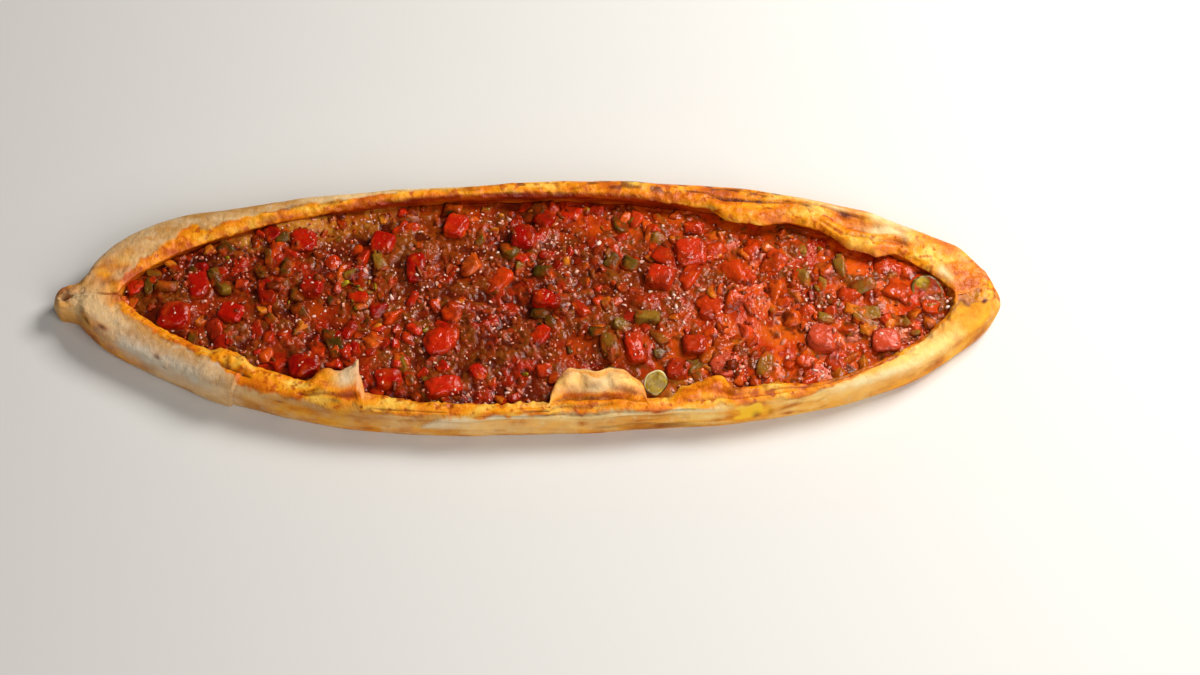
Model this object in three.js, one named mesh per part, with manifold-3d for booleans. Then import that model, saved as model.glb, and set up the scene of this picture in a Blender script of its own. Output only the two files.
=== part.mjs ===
// A boat-shaped baked flatbread: a dough boat whose two long edges are folded up into a rim and
// pinched shut at both ends, filled with a heap of diced red pepper, tomato, green pepper and meat.
// Millimetres, +Z up. X runs from tip to tip, the origin lies under the middle of the boat.
import * as THREE from 'three';
import { mergeVertices } from 'three/addons/utils/BufferGeometryUtils.js';
import Module from 'manifold-3d';

const wasm = await Module();
wasm.setup();

// ---------------------------------------------------------------- driving dimensions
const HALF_LENGTH = 200; // middle to tip
const RIM_HEIGHT = 18; // rim at the middle of the boat
const RIM_DROP = 3; // how much lower the rim is at the tips
const BASE_THICKNESS = 4; // flat dough under the filling
const FRONT_OPENING = 52; // middle to the inner lip, on the -Y side
const BACK_OPENING = 51.5; // and on the +Y side
const OPENING_LEFT = 172; // where the two lips meet at the pinched end
const OPENING_RIGHT = 180; // and at the folded end
const KNOB = { x: -193, dimple: 1.2 }; // the pinched tip, with a hollow in its top
const SEAM = 0.8; // half width of the groove where the lips meet
const SEAM_SHIFT = 6; // how far the groove runs off towards the back at the folded end
const OVERLAP = { x: -121, length: 34, step: 1.6 }; // front edge of the dough, laid over itself
const FILL_EDGE = 9.5; // height of the filling along the rim
const FILL_DOME = 3.5; // how much higher it is piled in the middle
const GAP = 0.35; // clearance between neighbouring solids

// ---------------------------------------------------------------- small helpers
const clamp = (v, lo = 0, hi = 1) => Math.min(hi, Math.max(lo, v));
const mix = (a, b, t) => a + (b - a) * t;
const smooth = (lo, hi, v) => {
  const t = clamp((v - lo) / (hi - lo));
  return t * t * (3 - 2 * t);
};
const bell = (v, centre, width) => Math.exp(-(((v - centre) / width) ** 2));
const random = (i, j) => {
  const v = Math.sin(i * 12.9898 + j * 78.233) * 43758.5453;
  return v - Math.floor(v);
};
// Half width of a pointed oval: 1 at s = 0 and 0 at s = 1.
const bow = (s, power, roundness) => (1 - clamp(Math.abs(s)) ** power) ** roundness;
// Slow unevenness of hand-shaped dough, between -1 and 1.
const uneven = (x, side) =>
  0.5 * Math.sin(x / 19 + 2 * side) + 0.3 * Math.sin(x / 8.3 + side) + 0.2 * Math.sin(x / 4.1 - side);

// ---------------------------------------------------------------- the dough boat
const FRONT = -1;
const BACK = 1;

// The outside of the boat, as a table of half widths at stations along it: x, front, back.
const OUTLINE = [
  [-200, 5, 5.5], [-197, 5.4, 6.5], [-194, 5.8, 7.1], [-191, 6.6, 7.5], [-188.7, 7.9, 8.8],
  [-185, 12.4, 14.5], [-181.4, 16.2, 20.6], [-175.6, 20.8, 27], [-165.5, 27, 33.8],
  [-149, 35.1, 41], [-132, 42.3, 44.4], [-115, 47.1, 47.6], [-98, 51.2, 51.2],
  [-80, 54.8, 53.4], [-60, 57.4, 55.4], [-30, 59, 57.4], [0, 58.8, 59.5], [31, 57.5, 60.6],
  [57, 55.4, 59.4], [80, 53.9, 58], [100, 51.6, 55.1], [125, 47.2, 49.6], [142, 42.8, 44.3],
  [159, 36.2, 37], [168, 31, 33.2], [176, 25.4, 29.5], [182, 20.8, 26.4], [186, 17.9, 22.5],
  [190, 14.6, 17.6], [194, 10.6, 12], [197, 7.5, 8], [200, 5, 5],
];

// Folds of the rim that lean in over the filling. reach is how far the lip comes in, lift how far
// it rises, crease how deep the line between the two layers is; before and after are its lengths
// along X on either side of x, and hold the share of them that keeps the whole reach. With hold 0
// a fold is a flap that comes to a point.
const FOLDS = [
  { side: FRONT, x: -69.5, before: 20, after: 3, reach: 14, lift: 2.5, crease: 0, hold: 0 },
  { side: FRONT, x: 31, before: 15.5, after: 15.5, reach: 15, lift: 0, crease: 3.5, hold: 0.6 },
  { side: FRONT, x: 4, before: 10, after: 14, reach: 3, lift: 0, crease: 0.5, hold: 0.3 },
  { side: FRONT, x: 90, before: 26, after: 26, reach: 5, lift: 0, crease: 1, hold: 0.4 },
  { side: FRONT, x: -122, before: 8, after: 8, reach: 4, lift: 0.5, crease: 1.2, hold: 0.5 },
  { side: BACK, x: 90, before: 12, after: 18, reach: 5.5, lift: 0.5, crease: 1, hold: 0.4 },
  { side: BACK, x: 145, before: 14, after: 10, reach: 5.5, lift: 0.5, crease: 2.5, hold: 0.3 },
];

// 0 away from the fold, 1 on it. A flap is a low shelf that ends in a point.
function foldShare(fold, x) {
  const away = Math.abs(x - fold.x) / (x < fold.x ? fold.before : fold.after);
  if (fold.hold > 0) return smooth(1.25, fold.hold, away);
  return 0.52 * smooth(1.1, 0.6, away) + 0.48 * clamp(1 - away / 0.35) ** 1.5;
}

// A smooth line through one column of the table, by a cubic between each two rows.
function throughTable(x, column) {
  const last = OUTLINE.length - 1;
  const i = clamp(OUTLINE.findIndex((row) => row[0] > x) - 1, 0, last - 1);
  const k = x >= OUTLINE[last][0] ? last - 1 : i;
  const slope = (n) => {
    const [a, b] = [OUTLINE[Math.max(n - 1, 0)], OUTLINE[Math.min(n + 1, last)]];
    return (b[column] - a[column]) / (b[0] - a[0]);
  };
  const gap = OUTLINE[k + 1][0] - OUTLINE[k][0];
  const t = (x - OUTLINE[k][0]) / gap;
  const straight = mix(OUTLINE[k][column], OUTLINE[k + 1][column], t * t * (3 - 2 * t));
  return straight + gap * (t * (1 - t) ** 2 * slope(k) - t * t * (1 - t) * slope(k + 1));
}

function outerHalfWidth(x, side) {
  const hull = throughTable(x, side === FRONT ? 1 : 2);
  const before = (OVERLAP.x - x) / OVERLAP.length;
  const overlap = side === FRONT && before > 0 ? OVERLAP.step * smooth(1, 0, before) : 0;
  return hull + 0.4 * uneven(x, side) * smooth(5, 30, hull) + overlap;
}

// Middle to the lip, without the folds.
function openingHalfWidth(x, side) {
  const s = x / (x < 0 ? OPENING_LEFT : OPENING_RIGHT);
  if (side === FRONT) return FRONT_OPENING * (x < 0 ? bow(s, 2, 0.78) : bow(s, 3.2, 0.66));
  return BACK_OPENING * (x < 0 ? bow(s, 2, 0.7) : bow(s, 2.2, 0.7));
}

// All that a cross-section needs to know about one side of the boat at x.
function rimAt(x, side) {
  const opening = openingHalfWidth(x, side);
  const outer = outerHalfWidth(x, side);
  const tall = RIM_HEIGHT - RIM_DROP * Math.abs(x / HALF_LENGTH) ** 3 + 0.6 * uneven(x, 3 * side);
  const dimple = bell(x, KNOB.x, 3.5);
  const open = smooth(0, 10, opening);
  const height = tall * mix(0.85, 1, smooth(5, 14, outer));
  const floor = mix(height * mix(0.95, 0.6, dimple), BASE_THICKNESS, open);
  const rim = { outer, height, open, floor, reach: 0, lift: 0, crease: 0 };
  rim.wall = Math.hypot(opening, SEAM + KNOB.dimple * dimple);
  for (const fold of FOLDS.filter((f) => f.side === side)) {
    const share = foldShare(fold, x);
    rim.reach += fold.reach * share;
    rim.lift += fold.lift * share;
    rim.crease += fold.crease * share;
  }
  rim.lip = Math.max(rim.wall - rim.reach, SEAM);
  rim.shift = side * Math.min(SEAM_SHIFT * smooth(180, 197, x), 0.5 * outer);
  return rim;
}

// One side of the cross-section, from the base round the rim to the floor, as pairs of distance
// from the middle and height.
function halfSection(x, side) {
  const r = rimAt(x, side);
  const foot = r.outer - Math.min(3, 0.25 * r.outer);
  const shoulder = r.outer - Math.min(1.2, 0.1 * r.outer);
  const lipHeight = 0.86 * r.height + 0.8 * r.lift;
  const under = Math.min(1.2, 0.2 * r.wall) * r.open;
  const curl = 3 * r.open * smooth(0, 4, r.reach + 1.5);
  const crest = (share, height, fold, crease) => [
    mix(shoulder, r.lip + r.shift, share),
    height * r.height + fold * r.lift - crease * r.crease,
  ];
  return [
    [foot, 0],
    [r.outer - 0.08 * Math.min(8, r.outer), 0.1 * r.height],
    [r.outer, 0.36 * r.height],
    [0.98 * r.outer, 0.66 * r.height],
    crest(0, 0.86, 0, 0),
    crest(0.2, 0.97, 0.2, 0),
    crest(0.42, 1, 0.5, 1),
    crest(0.62, 0.99, 0.8, 0.2),
    crest(0.84, 0.96, 1, 0),
    [r.lip + r.shift, lipHeight],
    [mix(r.lip, r.wall, 0.75) + r.shift, lipHeight - curl],
    [r.wall + under + r.shift, mix(lipHeight, r.floor, 0.55)],
    [r.wall + 0.5 * under + r.shift, mix(lipHeight, r.floor, 0.85)],
    [0.88 * r.wall + r.shift, r.floor],
  ];
}

// The whole closed cross-section, anticlockwise seen from +X.
function section(x) {
  const front = halfSection(x, FRONT).map(([q, z]) => [-q, z]);
  const back = halfSection(x, BACK);
  const { floor, shift } = rimAt(x, BACK);
  return [[0, 0], ...back, [shift, floor], ...front.reverse()];
}

// Centre line of the boat, and the rounding of its two ends: sections shrink towards the tip.
const bend = (x) => 2 * smooth(80, 170, Math.abs(x)) + 0.5 * smooth(170, 200, x);
const TIP_HEIGHT = 6.5;
const endScale = (x) => {
  const rounding = x < 0 ? 4 : 7;
  const past = clamp((Math.abs(x) - HALF_LENGTH + rounding) / rounding);
  return Math.sqrt(1 - past ** 2);
};

// Where the boat's cross-sections are taken: close together at the tips.
const STATIONS = [-HALF_LENGTH, -199.6, -198];
for (let x = -195; x < 195; x += Math.abs(x + 1) > 165 ? 3 : 5) STATIONS.push(x);
STATIONS.push(195, 198, 199.6, HALF_LENGTH);

// A closed loft made from a sphere whose poles are its two ends: loop(x, i) gives each ring.
function loft(stations, around, loop) {
  const rings = stations.length - 1;
  const sphere = new THREE.SphereGeometry(1, around, rings);
  sphere.deleteAttribute('normal');
  sphere.deleteAttribute('uv');
  const position = sphere.getAttribute('position');
  stations.forEach((x, ring) => {
    const points = loop(x, ring);
    for (let k = 0; k <= around; k++) {
      const [y, z] = points[(around - k) % around];
      position.setXYZ(ring * (around + 1) + k, x, y, z);
    }
  });
  return mergeVertices(sphere, 1e-4);
}

function crustGeometry() {
  return loft(STATIONS, section(0).length, (x) => {
    const scale = endScale(x);
    return section(x).map(([y, z]) => [bend(x) + y * scale, mix(TIP_HEIGHT, Math.max(z, 0), scale)]);
  });
}

// ---------------------------------------------------------------- solids
function solid(geometry) {
  return new wasm.Manifold(
    new wasm.Mesh({
      numProp: 3,
      vertProperties: geometry.getAttribute('position').array,
      triVerts: new Uint32Array(geometry.index.array),
    }),
  );
}

function geometryOf(manifold) {
  const mesh = manifold.getMesh();
  const geometry = new THREE.BufferGeometry()
    .setAttribute('position', new THREE.BufferAttribute(mesh.vertProperties, 3))
    .setIndex(new THREE.BufferAttribute(mesh.triVerts, 1));
  geometry.computeVertexNormals();
  return geometry;
}

// The same closed surface moved out by a distance along its normals.
function swollen(geometry, distance) {
  const out = geometry.clone();
  out.computeVertexNormals();
  const position = out.getAttribute('position');
  const normal = out.getAttribute('normal');
  for (let i = 0; i < position.count; i++) {
    const [x, y, z] = [0, 1, 2].map((axis) => {
      return position.getComponent(i, axis) + distance * normal.getComponent(i, axis);
    });
    position.setXYZ(i, x, y, z);
  }
  out.deleteAttribute('normal');
  return out;
}

// Position only, with shared corners: what the solids are made from.
function bare(geometry) {
  geometry.deleteAttribute('normal');
  geometry.deleteAttribute('uv');
  return mergeVertices(geometry, 1e-4);
}

// The largest body of a solid, without the crumbs that a cut leaves loose or the hollows that
// joining seals.
const largest = (manifold) =>
  manifold.decompose().reduce((a, b) => (a.volume() > b.volume() ? a : b));

// ---------------------------------------------------------------- the filling
// Height of the heap at a point, given the lips on either side.
function heapHeight(x, y) {
  const side = y < bend(x) ? FRONT : BACK;
  const wall = Math.max(rimAt(x, side).wall, 1);
  const share = clamp(Math.abs(y - bend(x)) / wall);
  const lumps =
    0.8 * Math.sin(x / 6.3 + 1.4 * Math.sin(y / 9)) * Math.cos(y / 7 - 1.2 * Math.sin(x / 13));
  return mix(RIM_HEIGHT - 6, FILL_EDGE + FILL_DOME * (1 - share ** 2), smooth(0, 22, wall)) + lumps;
}

// The bare heap fills the boat's hollow, a little clear of the dough at every station.
const CLEAR = 0.7;
const HEAP_STEPS = 9;
const HEAP_END = 5; // the heap stops this far before the lips meet
function heapGeometry() {
  const inside = STATIONS.filter((x) => x > HEAP_END - OPENING_LEFT && x < OPENING_RIGHT - HEAP_END);
  const stations = [inside[0] - 1.5, ...inside, inside[inside.length - 1] + 1.5];
  return loft(stations, HEAP_STEPS + 4, (x, i) => {
    const at = clamp(x, inside[0], inside[inside.length - 1]);
    const [front, back] = [rimAt(at, FRONT), rimAt(at, BACK)];
    const low = 0.5 * (front.floor + back.floor) + CLEAR;
    const [y0, y1] = [bend(at) - front.wall + CLEAR, bend(at) + back.wall - CLEAR];
    const top = Array.from({ length: HEAP_STEPS + 1 }, (_, k) => {
      const y = mix(y1, y0, k / HEAP_STEPS);
      return [y, Math.max(heapHeight(at, y), low + 1)];
    });
    const loop = [
      [bend(at), low],
      [bend(at) + 0.88 * back.wall - CLEAR, low],
      ...top,
      [bend(at) - 0.88 * front.wall + CLEAR, low],
    ];
    if (x === at) return loop;
    return loop.map(() => [mix(y0, y1, 0.5), low + 2]);
  });
}

// A die cut from a pepper or a tomato: a box with its edges and corners eased.
const EASED = [1, 1, 0.88, 0.8]; // by how many sides of the box a point lies on
function dieGeometry(length, width, height) {
  const box = new THREE.BoxGeometry(2, 2, 2, 2, 2, 2);
  const position = box.getAttribute('position');
  const point = new THREE.Vector3();
  for (let i = 0; i < position.count; i++) {
    point.fromBufferAttribute(position, i);
    point.multiplyScalar(EASED[Math.round(point.manhattanLength())]);
    position.setXYZ(i, (point.x * length) / 2, (point.y * width) / 2, (point.z * height) / 2);
  }
  return bare(box);
}

// A small piece of the heap: a leaning box, or a lump with 20 faces.
function bitGeometry(size, isLump, lean) {
  if (isLump) return bare(new THREE.IcosahedronGeometry(size / 2, 0).scale(1.15, 0.9, 0.85));
  const box = new THREE.BoxGeometry(size, size * 0.85, size * 0.8);
  return bare(box.applyMatrix4(new THREE.Matrix4().makeShear(0, lean, 0, 0, 0, 0)));
}

function placed(geometry, x, y, z, turn, tilt) {
  const euler = new THREE.Euler(tilt, -0.7 * tilt, turn, 'ZYX');
  const matrix = new THREE.Matrix4().makeRotationFromEuler(euler).setPosition(x, y, z);
  return geometry.applyMatrix4(matrix);
}

// Pieces large enough to pick out one by one: kind, x, y, length, width and height.
const BIG_PIECES = [
  ['red_pepper', -148, -7, 14, 12, 9],
  ['red_pepper', -139, 8, 10, 13, 9],
  ['red_pepper', -124, -6, 11, 9, 9],
  ['red_pepper', -110, 4, 7, 13, 9],
  ['red_pepper', -96, 31, 12, 11, 9],
  ['red_pepper', -91, 7, 10, 10, 9],
  ['red_pepper', -92, -31, 14, 11, 9],
  ['red_pepper', -62, 29, 11, 11, 10],
  ['red_pepper', -57, -37, 12, 10, 9],
  ['red_pepper', -47, 16, 9, 14, 9],
  ['red_pepper', -31, 38, 10, 12, 9],
  ['red_pepper', -34, -41, 16, 10, 9],
  ['red_pepper', -2, 32, 11, 11, 10],
  ['red_pepper', 8, 0, 12, 9, 9],
  ['red_pepper', 45, -23, 8, 14, 10],
  ['red_pepper', 56, 11, 12, 11, 10],
  ['red_pepper', 69, 24, 14, 14, 10],
  ['red_pepper', 70, -22, 11, 10, 10],
  ['red_pepper', 63, -33.5, 10, 10, 9],
  ['tomato', 83, -31, 14, 12, 9],
  ['tomato', 123, -18, 13, 13, 10],
  ['tomato', 150, -19, 12, 11, 9],
  ['green_pepper', 34.5, -22, 8, 13, 9],
  ['green_pepper', 99, -31, 7, 13, 8],
];
const TURN_STEP = 2.4; // radians between one piece's turn and the next
const BIG_SUNK = 0.58; // share of a big piece's height that is below the heap

function bigPieces() {
  const counts = {};
  return BIG_PIECES.map(([kind, x, y, length, width, height], i) => {
    counts[kind] = (counts[kind] || 0) + 1;
    const name = `${kind}_${String(counts[kind]).padStart(2, '0')}`;
    const z = heapHeight(x, y) + height * (0.5 - BIG_SUNK);
    const [turn, tilt] = [0.3 * Math.sin(TURN_STEP * i), 0.14 * Math.sin(3.7 * i)];
    return { name, kind, x, y, z, length, width, height, turn, tilt };
  });
}

// Round slices of green pepper: one leans on the front rim beside the rolled fold, one lies in
// the folded end.
const SLICES = [
  { x: 53.5, y: -41.5, z: 16.2, radius: 5.6, thickness: 2.4, lean: 0.5 },
  { x: 168.5, y: 5, z: 12.6, radius: 7, thickness: 2.6, lean: 0.25 },
];
function sliceGeometry({ x, y, z, radius, thickness, lean }, grow = 0) {
  const disc = new THREE.CylinderGeometry(radius + grow, radius + grow, thickness + 2 * grow, 18);
  return bare(disc.rotateX(Math.PI / 2)).rotateX(lean).rotateZ(0.3).translate(x, y, z);
}

// The small pieces of the heap: one near the middle of every cell of a square grid, unless a big
// piece or the rim is in its way.
const CELL = 14;
function bits(taken) {
  const found = [];
  const columns = Math.floor((OPENING_LEFT + OPENING_RIGHT - 20) / CELL);
  const rows = Math.ceil((FRONT_OPENING + BACK_OPENING) / CELL);
  for (let i = 0; i < columns; i++) {
    for (let j = 0; j < rows; j++) {
      const x = 10 - OPENING_LEFT + CELL * (i + mix(0.15, 0.85, random(i, j)));
      const y = CELL * (j - rows / 2 + mix(0.15, 0.85, random(j, i + 40)));
      const size = mix(5, 8.5, random(i + 7, j + 3));
      const near = taken.some((t) => Math.hypot(t.x - x, t.y - y) < t.radius + 0.4 * size);
      const side = y < bend(x) ? FRONT : BACK;
      if (near || Math.abs(y - bend(x)) > rimAt(x, side).lip - 0.75 * size) continue;
      const turn = TURN_STEP * (i + j);
      const bit = bitGeometry(size, (i + j) % 2 === 0, 0.25 * Math.sin(turn));
      found.push(placed(bit, x, y, heapHeight(x, y) + 0.08 * size, turn, 0.35 * Math.sin(5 * turn)));
    }
  }
  return found;
}

// ---------------------------------------------------------------- materials
const material = (color, roughness) => new THREE.MeshStandardMaterial({ color, roughness, metalness: 0 });
const MATERIALS = {
  crust: material(0xe9c382, 0.75),
  filling: material(0x93391a, 0.35),
  red_pepper: material(0xb3210a, 0.3),
  tomato: material(0xc84c33, 0.3),
  green_pepper: material(0x74672c, 0.35),
};

// ---------------------------------------------------------------- the whole pide
const pide = new THREE.Group();
function add(name, manifold, kind) {
  const mesh = new THREE.Mesh(geometryOf(manifold), MATERIALS[kind]);
  mesh.name = name;
  pide.add(mesh);
}

const crust = crustGeometry();
const boat = solid(crust).simplify(0.03);
add('crust', boat, 'crust');
const dough = solid(swollen(crust, GAP));

const big = bigPieces();
const pockets = [];
for (const p of big) {
  const die = placed(dieGeometry(p.length, p.width, p.height), p.x, p.y, p.z, p.turn, p.tilt);
  pockets.push(solid(swollen(die, GAP)));
  add(p.name, largest(solid(die).subtract(dough)), p.kind);
}
SLICES.forEach((s, i) => {
  pockets.push(solid(sliceGeometry(s, GAP)));
  add(`pepper_slice_0${i + 1}`, largest(solid(sliceGeometry(s)).subtract(dough)), 'green_pepper');
});

const taken = big.map((p) => ({ x: p.x, y: p.y, radius: 0.5 * Math.max(p.length, p.width) }));
const heap = wasm.Manifold.union([solid(heapGeometry()), ...bits([...taken, ...SLICES]).map(solid)]);
const fitted = heap.subtract(wasm.Manifold.union([dough, ...pockets]));
const filling = largest(largest(fitted).simplify(0.15));
add('filling', filling, 'filling');

export default pide;
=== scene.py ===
# %% [markdown]
# # A boat of baked dough and its filling
# A pide is a long oval of bread dough. Its edges are folded up into a rim, the two ends are
# pinched shut, and the hollow is filled with minced meat, diced peppers and tomato. In the oven
# the juice boils up and stains the rim orange, and the flour on the outside stays pale.
#
# The solids give the boat, the heap and the largest dice at their real size. This lesson puts a
# finished surface over each of them: the same boat with far more points, the crumbly bed of
# mince, and thousands of small pieces scattered on it.

import bpy
import numpy as np
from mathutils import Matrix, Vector


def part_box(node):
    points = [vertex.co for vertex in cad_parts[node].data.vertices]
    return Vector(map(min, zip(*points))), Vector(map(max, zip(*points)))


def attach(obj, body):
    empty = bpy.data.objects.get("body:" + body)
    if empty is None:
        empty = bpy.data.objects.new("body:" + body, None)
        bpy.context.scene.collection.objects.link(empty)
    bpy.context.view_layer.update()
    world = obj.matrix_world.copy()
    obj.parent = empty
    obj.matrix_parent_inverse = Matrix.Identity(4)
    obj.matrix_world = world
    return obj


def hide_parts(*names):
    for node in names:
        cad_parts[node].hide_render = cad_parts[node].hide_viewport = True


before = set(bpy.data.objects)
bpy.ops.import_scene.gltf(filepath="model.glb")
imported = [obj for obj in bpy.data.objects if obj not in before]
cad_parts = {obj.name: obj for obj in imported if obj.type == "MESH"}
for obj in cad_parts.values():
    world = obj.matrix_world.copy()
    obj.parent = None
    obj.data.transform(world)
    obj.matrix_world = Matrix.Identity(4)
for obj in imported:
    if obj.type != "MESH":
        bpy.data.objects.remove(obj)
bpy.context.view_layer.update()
MM = 0.001  # the shapes below are worked out in millimetres

# %% [markdown]
# ## Helpers for shapes
# Every shape here is a whole array of points. Smooth steps and bells switch a feature on and off
# along the boat, and two kinds of noise make it uneven: a soft one for dough, and one made of
# round cells for crumbs. Blender's own textures and modifiers could do much of this. Worked out
# with numpy, each height can also be asked for beforehand, to set a crumb down on the bed.


# %% Steps, bells and random numbers
def smooth(low, high, value):
    """0 at low, 1 at high and an S-shaped ramp between: t * t * (3 - 2 * t)."""
    t = np.clip((value - low) / (high - low), 0, 1)
    return t * t * (3 - 2 * t)


def bell(value, centre, width):
    """1 at the centre, falling off on both sides as e to the minus square."""
    return np.exp(-(((value - centre) / width) ** 2))


def between(value, start, full, last, end):
    """0 up to start, 1 from full to last and 0 from end on: the product of two smooth steps."""
    return smooth(start, full, value) * smooth(end, last, value)


def mix(a, b, t):
    """a where t is 0, b where t is 1."""
    return a + (b - a) * t


KEY_FACTORS = (12.9898, 78.233, 37.719, 53.117)  # no simple ratios, or keys would coincide
WAVE_HEIGHT = 43758.5453  # so tall a wave that its decimals look random


def scrambled(*keys):
    """A number from 0 to 1 for each set of numbers: the decimals of a large sine of their sum,
    each times its own factor."""
    wave = np.sin(sum(key * factor for key, factor in zip(keys, KEY_FACTORS))) * WAVE_HEIGHT
    return wave - np.floor(wave)


# %% Soft noise
SEED_SHIFT = 11.3  # how far one seed's lattice lies from the next one's, in cells


def soft_noise(points, size, seed):
    """Between -1 and 1. The corners of a lattice with that spacing get random values, and a point
    takes the mix of the eight corners around it, eased so that no edges of the lattice show."""
    place = np.asarray(points) / size + SEED_SHIFT * seed
    cell = np.floor(place)
    t = place - cell
    t = t * t * (3 - 2 * t)
    total = 0.0
    for corner in np.ndindex(2, 2, 2):
        weight = np.prod(np.where(np.array(corner), t, 1 - t), axis=-1)
        total = total + weight * scrambled(*np.moveaxis(cell + corner, -1, 0), seed)
    return 2 * total - 1


def rough_noise(points, size, seed, layers=3):
    """Soft noise plus finer copies of itself, each half as large and half as strong."""
    total = sum(soft_noise(points, size / 2**n, seed + n) / 2**n for n in range(layers))
    return total / (2 - 0.5 ** (layers - 1))


# %% Cells for crumbs
FAR = 9.0  # in cells: more than any nearest site can be away


def crumb_cells(x, y, cell, seed):
    """Distance to the nearest of many scattered sites, in cells, and that site's own random
    number. There is one site in every square of a grid, so only nine need looking at."""
    column, row = np.floor(x / cell), np.floor(y / cell)
    nearest, label = np.full(np.shape(x), FAR), np.zeros(np.shape(x))
    for i in (-1, 0, 1):
        for j in (-1, 0, 1):
            site_x = (column + i + scrambled(column + i, row + j, seed)) * cell
            site_y = (row + j + scrambled(row + j, column + i, seed + 5)) * cell
            away = np.hypot(x - site_x, y - site_y) / cell
            closer = away < nearest
            nearest = np.where(closer, away, nearest)
            label = np.where(closer, scrambled(column + i, row + j, seed + 9), label)
    return nearest, label


# %% From arrays to a mesh
def box_mm(node):
    """Lowest and highest corner of a solid, in millimetres."""
    return np.array(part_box(node)) / MM


def make_piece(name, points, quads, triangles, **attributes):
    """A mesh object from points in millimetres. Faces that would point inwards are turned over,
    which shows in the sign of the volume: the sum of the corners' triple products."""
    points = np.asarray(points, float) * MM
    quads = np.asarray(quads, np.int32).reshape(-1, 4)
    triangles = np.asarray(triangles, np.int32).reshape(-1, 3)
    fans = np.concatenate([quads[:, :3], quads[:, [0, 2, 3]], triangles])
    a, b, c = (points[fans[:, k]] for k in range(3))
    if np.einsum("ij,ij->", a, np.cross(b, c)) < 0:
        quads, triangles = quads[:, ::-1], triangles[:, ::-1]
    mesh = bpy.data.meshes.new(name)
    mesh.vertices.add(len(points))
    mesh.vertices.foreach_set("co", points.ravel())
    mesh.loops.add(4 * len(quads) + 3 * len(triangles))
    mesh.loops.foreach_set("vertex_index", np.concatenate([quads.ravel(), triangles.ravel()]))
    mesh.polygons.add(len(quads) + len(triangles))
    starts = [np.arange(len(quads)) * 4, 4 * len(quads) + np.arange(len(triangles)) * 3]
    mesh.polygons.foreach_set("loop_start", np.concatenate(starts))
    mesh.polygons.foreach_set("use_smooth", np.ones(len(quads) + len(triangles), bool))
    for attribute, values in attributes.items():
        layer = mesh.attributes.new(attribute, "FLOAT", "POINT")
        layer.data.foreach_set("value", np.asarray(values, np.float32).ravel())
    mesh.update(calc_edges=True)
    piece = bpy.data.objects.new(name, mesh)
    bpy.context.scene.collection.objects.link(piece)
    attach(piece, "root")
    print(f"{name}: {len(points)} points, {len(fans)} triangles")
    return piece


# %% Closing a stack of rings
def ring_faces(rings, around):
    """Faces of a stack of rings whose first and last ring are single points: quads between
    rings, and a fan of triangles at each end."""
    k = np.arange(around)
    nxt = (k + 1) % around
    start = 1 + np.arange(rings - 3)[:, None] * around
    quads = np.stack([start + k, start + nxt, start + around + nxt, start + around + k], axis=-1)
    last = 1 + (rings - 2) * around
    first_fan = np.stack([np.zeros(around, int), nxt + 1, k + 1], axis=-1)
    last_fan = np.stack([np.full(around, last), last - around + k, last - around + nxt], axis=-1)
    return quads.reshape(-1, 4), np.concatenate([first_fan, last_fan])


def flatten_rings(values):
    """The values of a grid of rings, in the order of the points that ring_faces counts."""
    between_ends = values[1:-1].reshape(-1, *values.shape[2:])
    return np.concatenate([values[:1, 0], between_ends, values[-1:, 0]])


# %% [markdown]
# ## The boat's measurements
# These are the sizes that the solids were made from, so that the finished crust lies on the plain
# one. A boatbuilder writes a hull down as a table of half widths at stations along it, and a baked
# boat is uneven enough to need one too. The opening is a pointed oval, one minus a power of the
# distance from the middle. Nine folds of the rim, most of them low, lean in over the filling. All
# this could be sculpted by eye, but a table can be read, checked and changed.

# %% Sizes of the dough boat
HALF_LENGTH = 200.0
RIM_HEIGHT, RIM_DROP = 18.0, 3.0  # in the middle, and how much lower the tips are
BASE_THICKNESS = 4.0
FRONT_OPENING, BACK_OPENING = 52.0, 51.5  # half widths of the opening in the middle
OPENING_LEFT, OPENING_RIGHT = 172.0, 180.0  # how far it reaches to both sides
KNOB_X, KNOB_DIMPLE = -194.5, 1.45
CRACK_X = -172.0
SEAM, SEAM_SHIFT = 0.5, 6.0  # half its gap, and how far back it lies at the right end
OVERLAP_X, OVERLAP_LENGTH, OVERLAP_STEP = -121.0, 34.0, 1.6  # the laid-over edge
FILL_EDGE, FILL_DOME = 9.5, 3.5  # height of the heap at the dough, and its rise to the middle
TIP_HEIGHT = 6.5
FRONT, BACK = -1, 1  # the two sides of the boat, as the sign of y
ROLL_X, FLAP_TIP_X = 28, -73  # the two folds kept pale by flour, and painted paler still against their shade
FLAKE_X = -43  # left edge of a flaked patch on the front wall

# x, then the half widths of the front and of the back
OUTLINE = np.array([
    (-200, 5.0, 5.5), (-197, 5.4, 6.5), (-194, 5.8, 7.1), (-191, 6.6, 7.5), (-188.7, 7.9, 8.8),
    (-185, 12.4, 14.5), (-181.4, 16.2, 20.6), (-175.6, 20.8, 27.0), (-165.5, 27.0, 33.8),
    (-149, 35.1, 41.0), (-132, 42.3, 44.4), (-115, 47.1, 47.6), (-98, 51.2, 51.2),
    (-80, 54.8, 53.4), (-60, 57.4, 55.4), (-30, 59.0, 57.4), (0, 58.8, 59.5), (31, 57.5, 60.6),
    (57, 55.4, 59.4), (80, 53.9, 58.0), (100, 51.6, 55.1), (125, 47.2, 49.6), (142, 42.8, 44.3),
    (159, 36.2, 37.0), (168, 31.0, 33.2), (176, 25.4, 29.5), (182, 20.8, 26.4), (186, 17.9, 22.5),
    (190, 14.6, 17.6), (194, 10.6, 12.0), (197, 7.5, 8.0), (200, 5, 5)])

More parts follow.
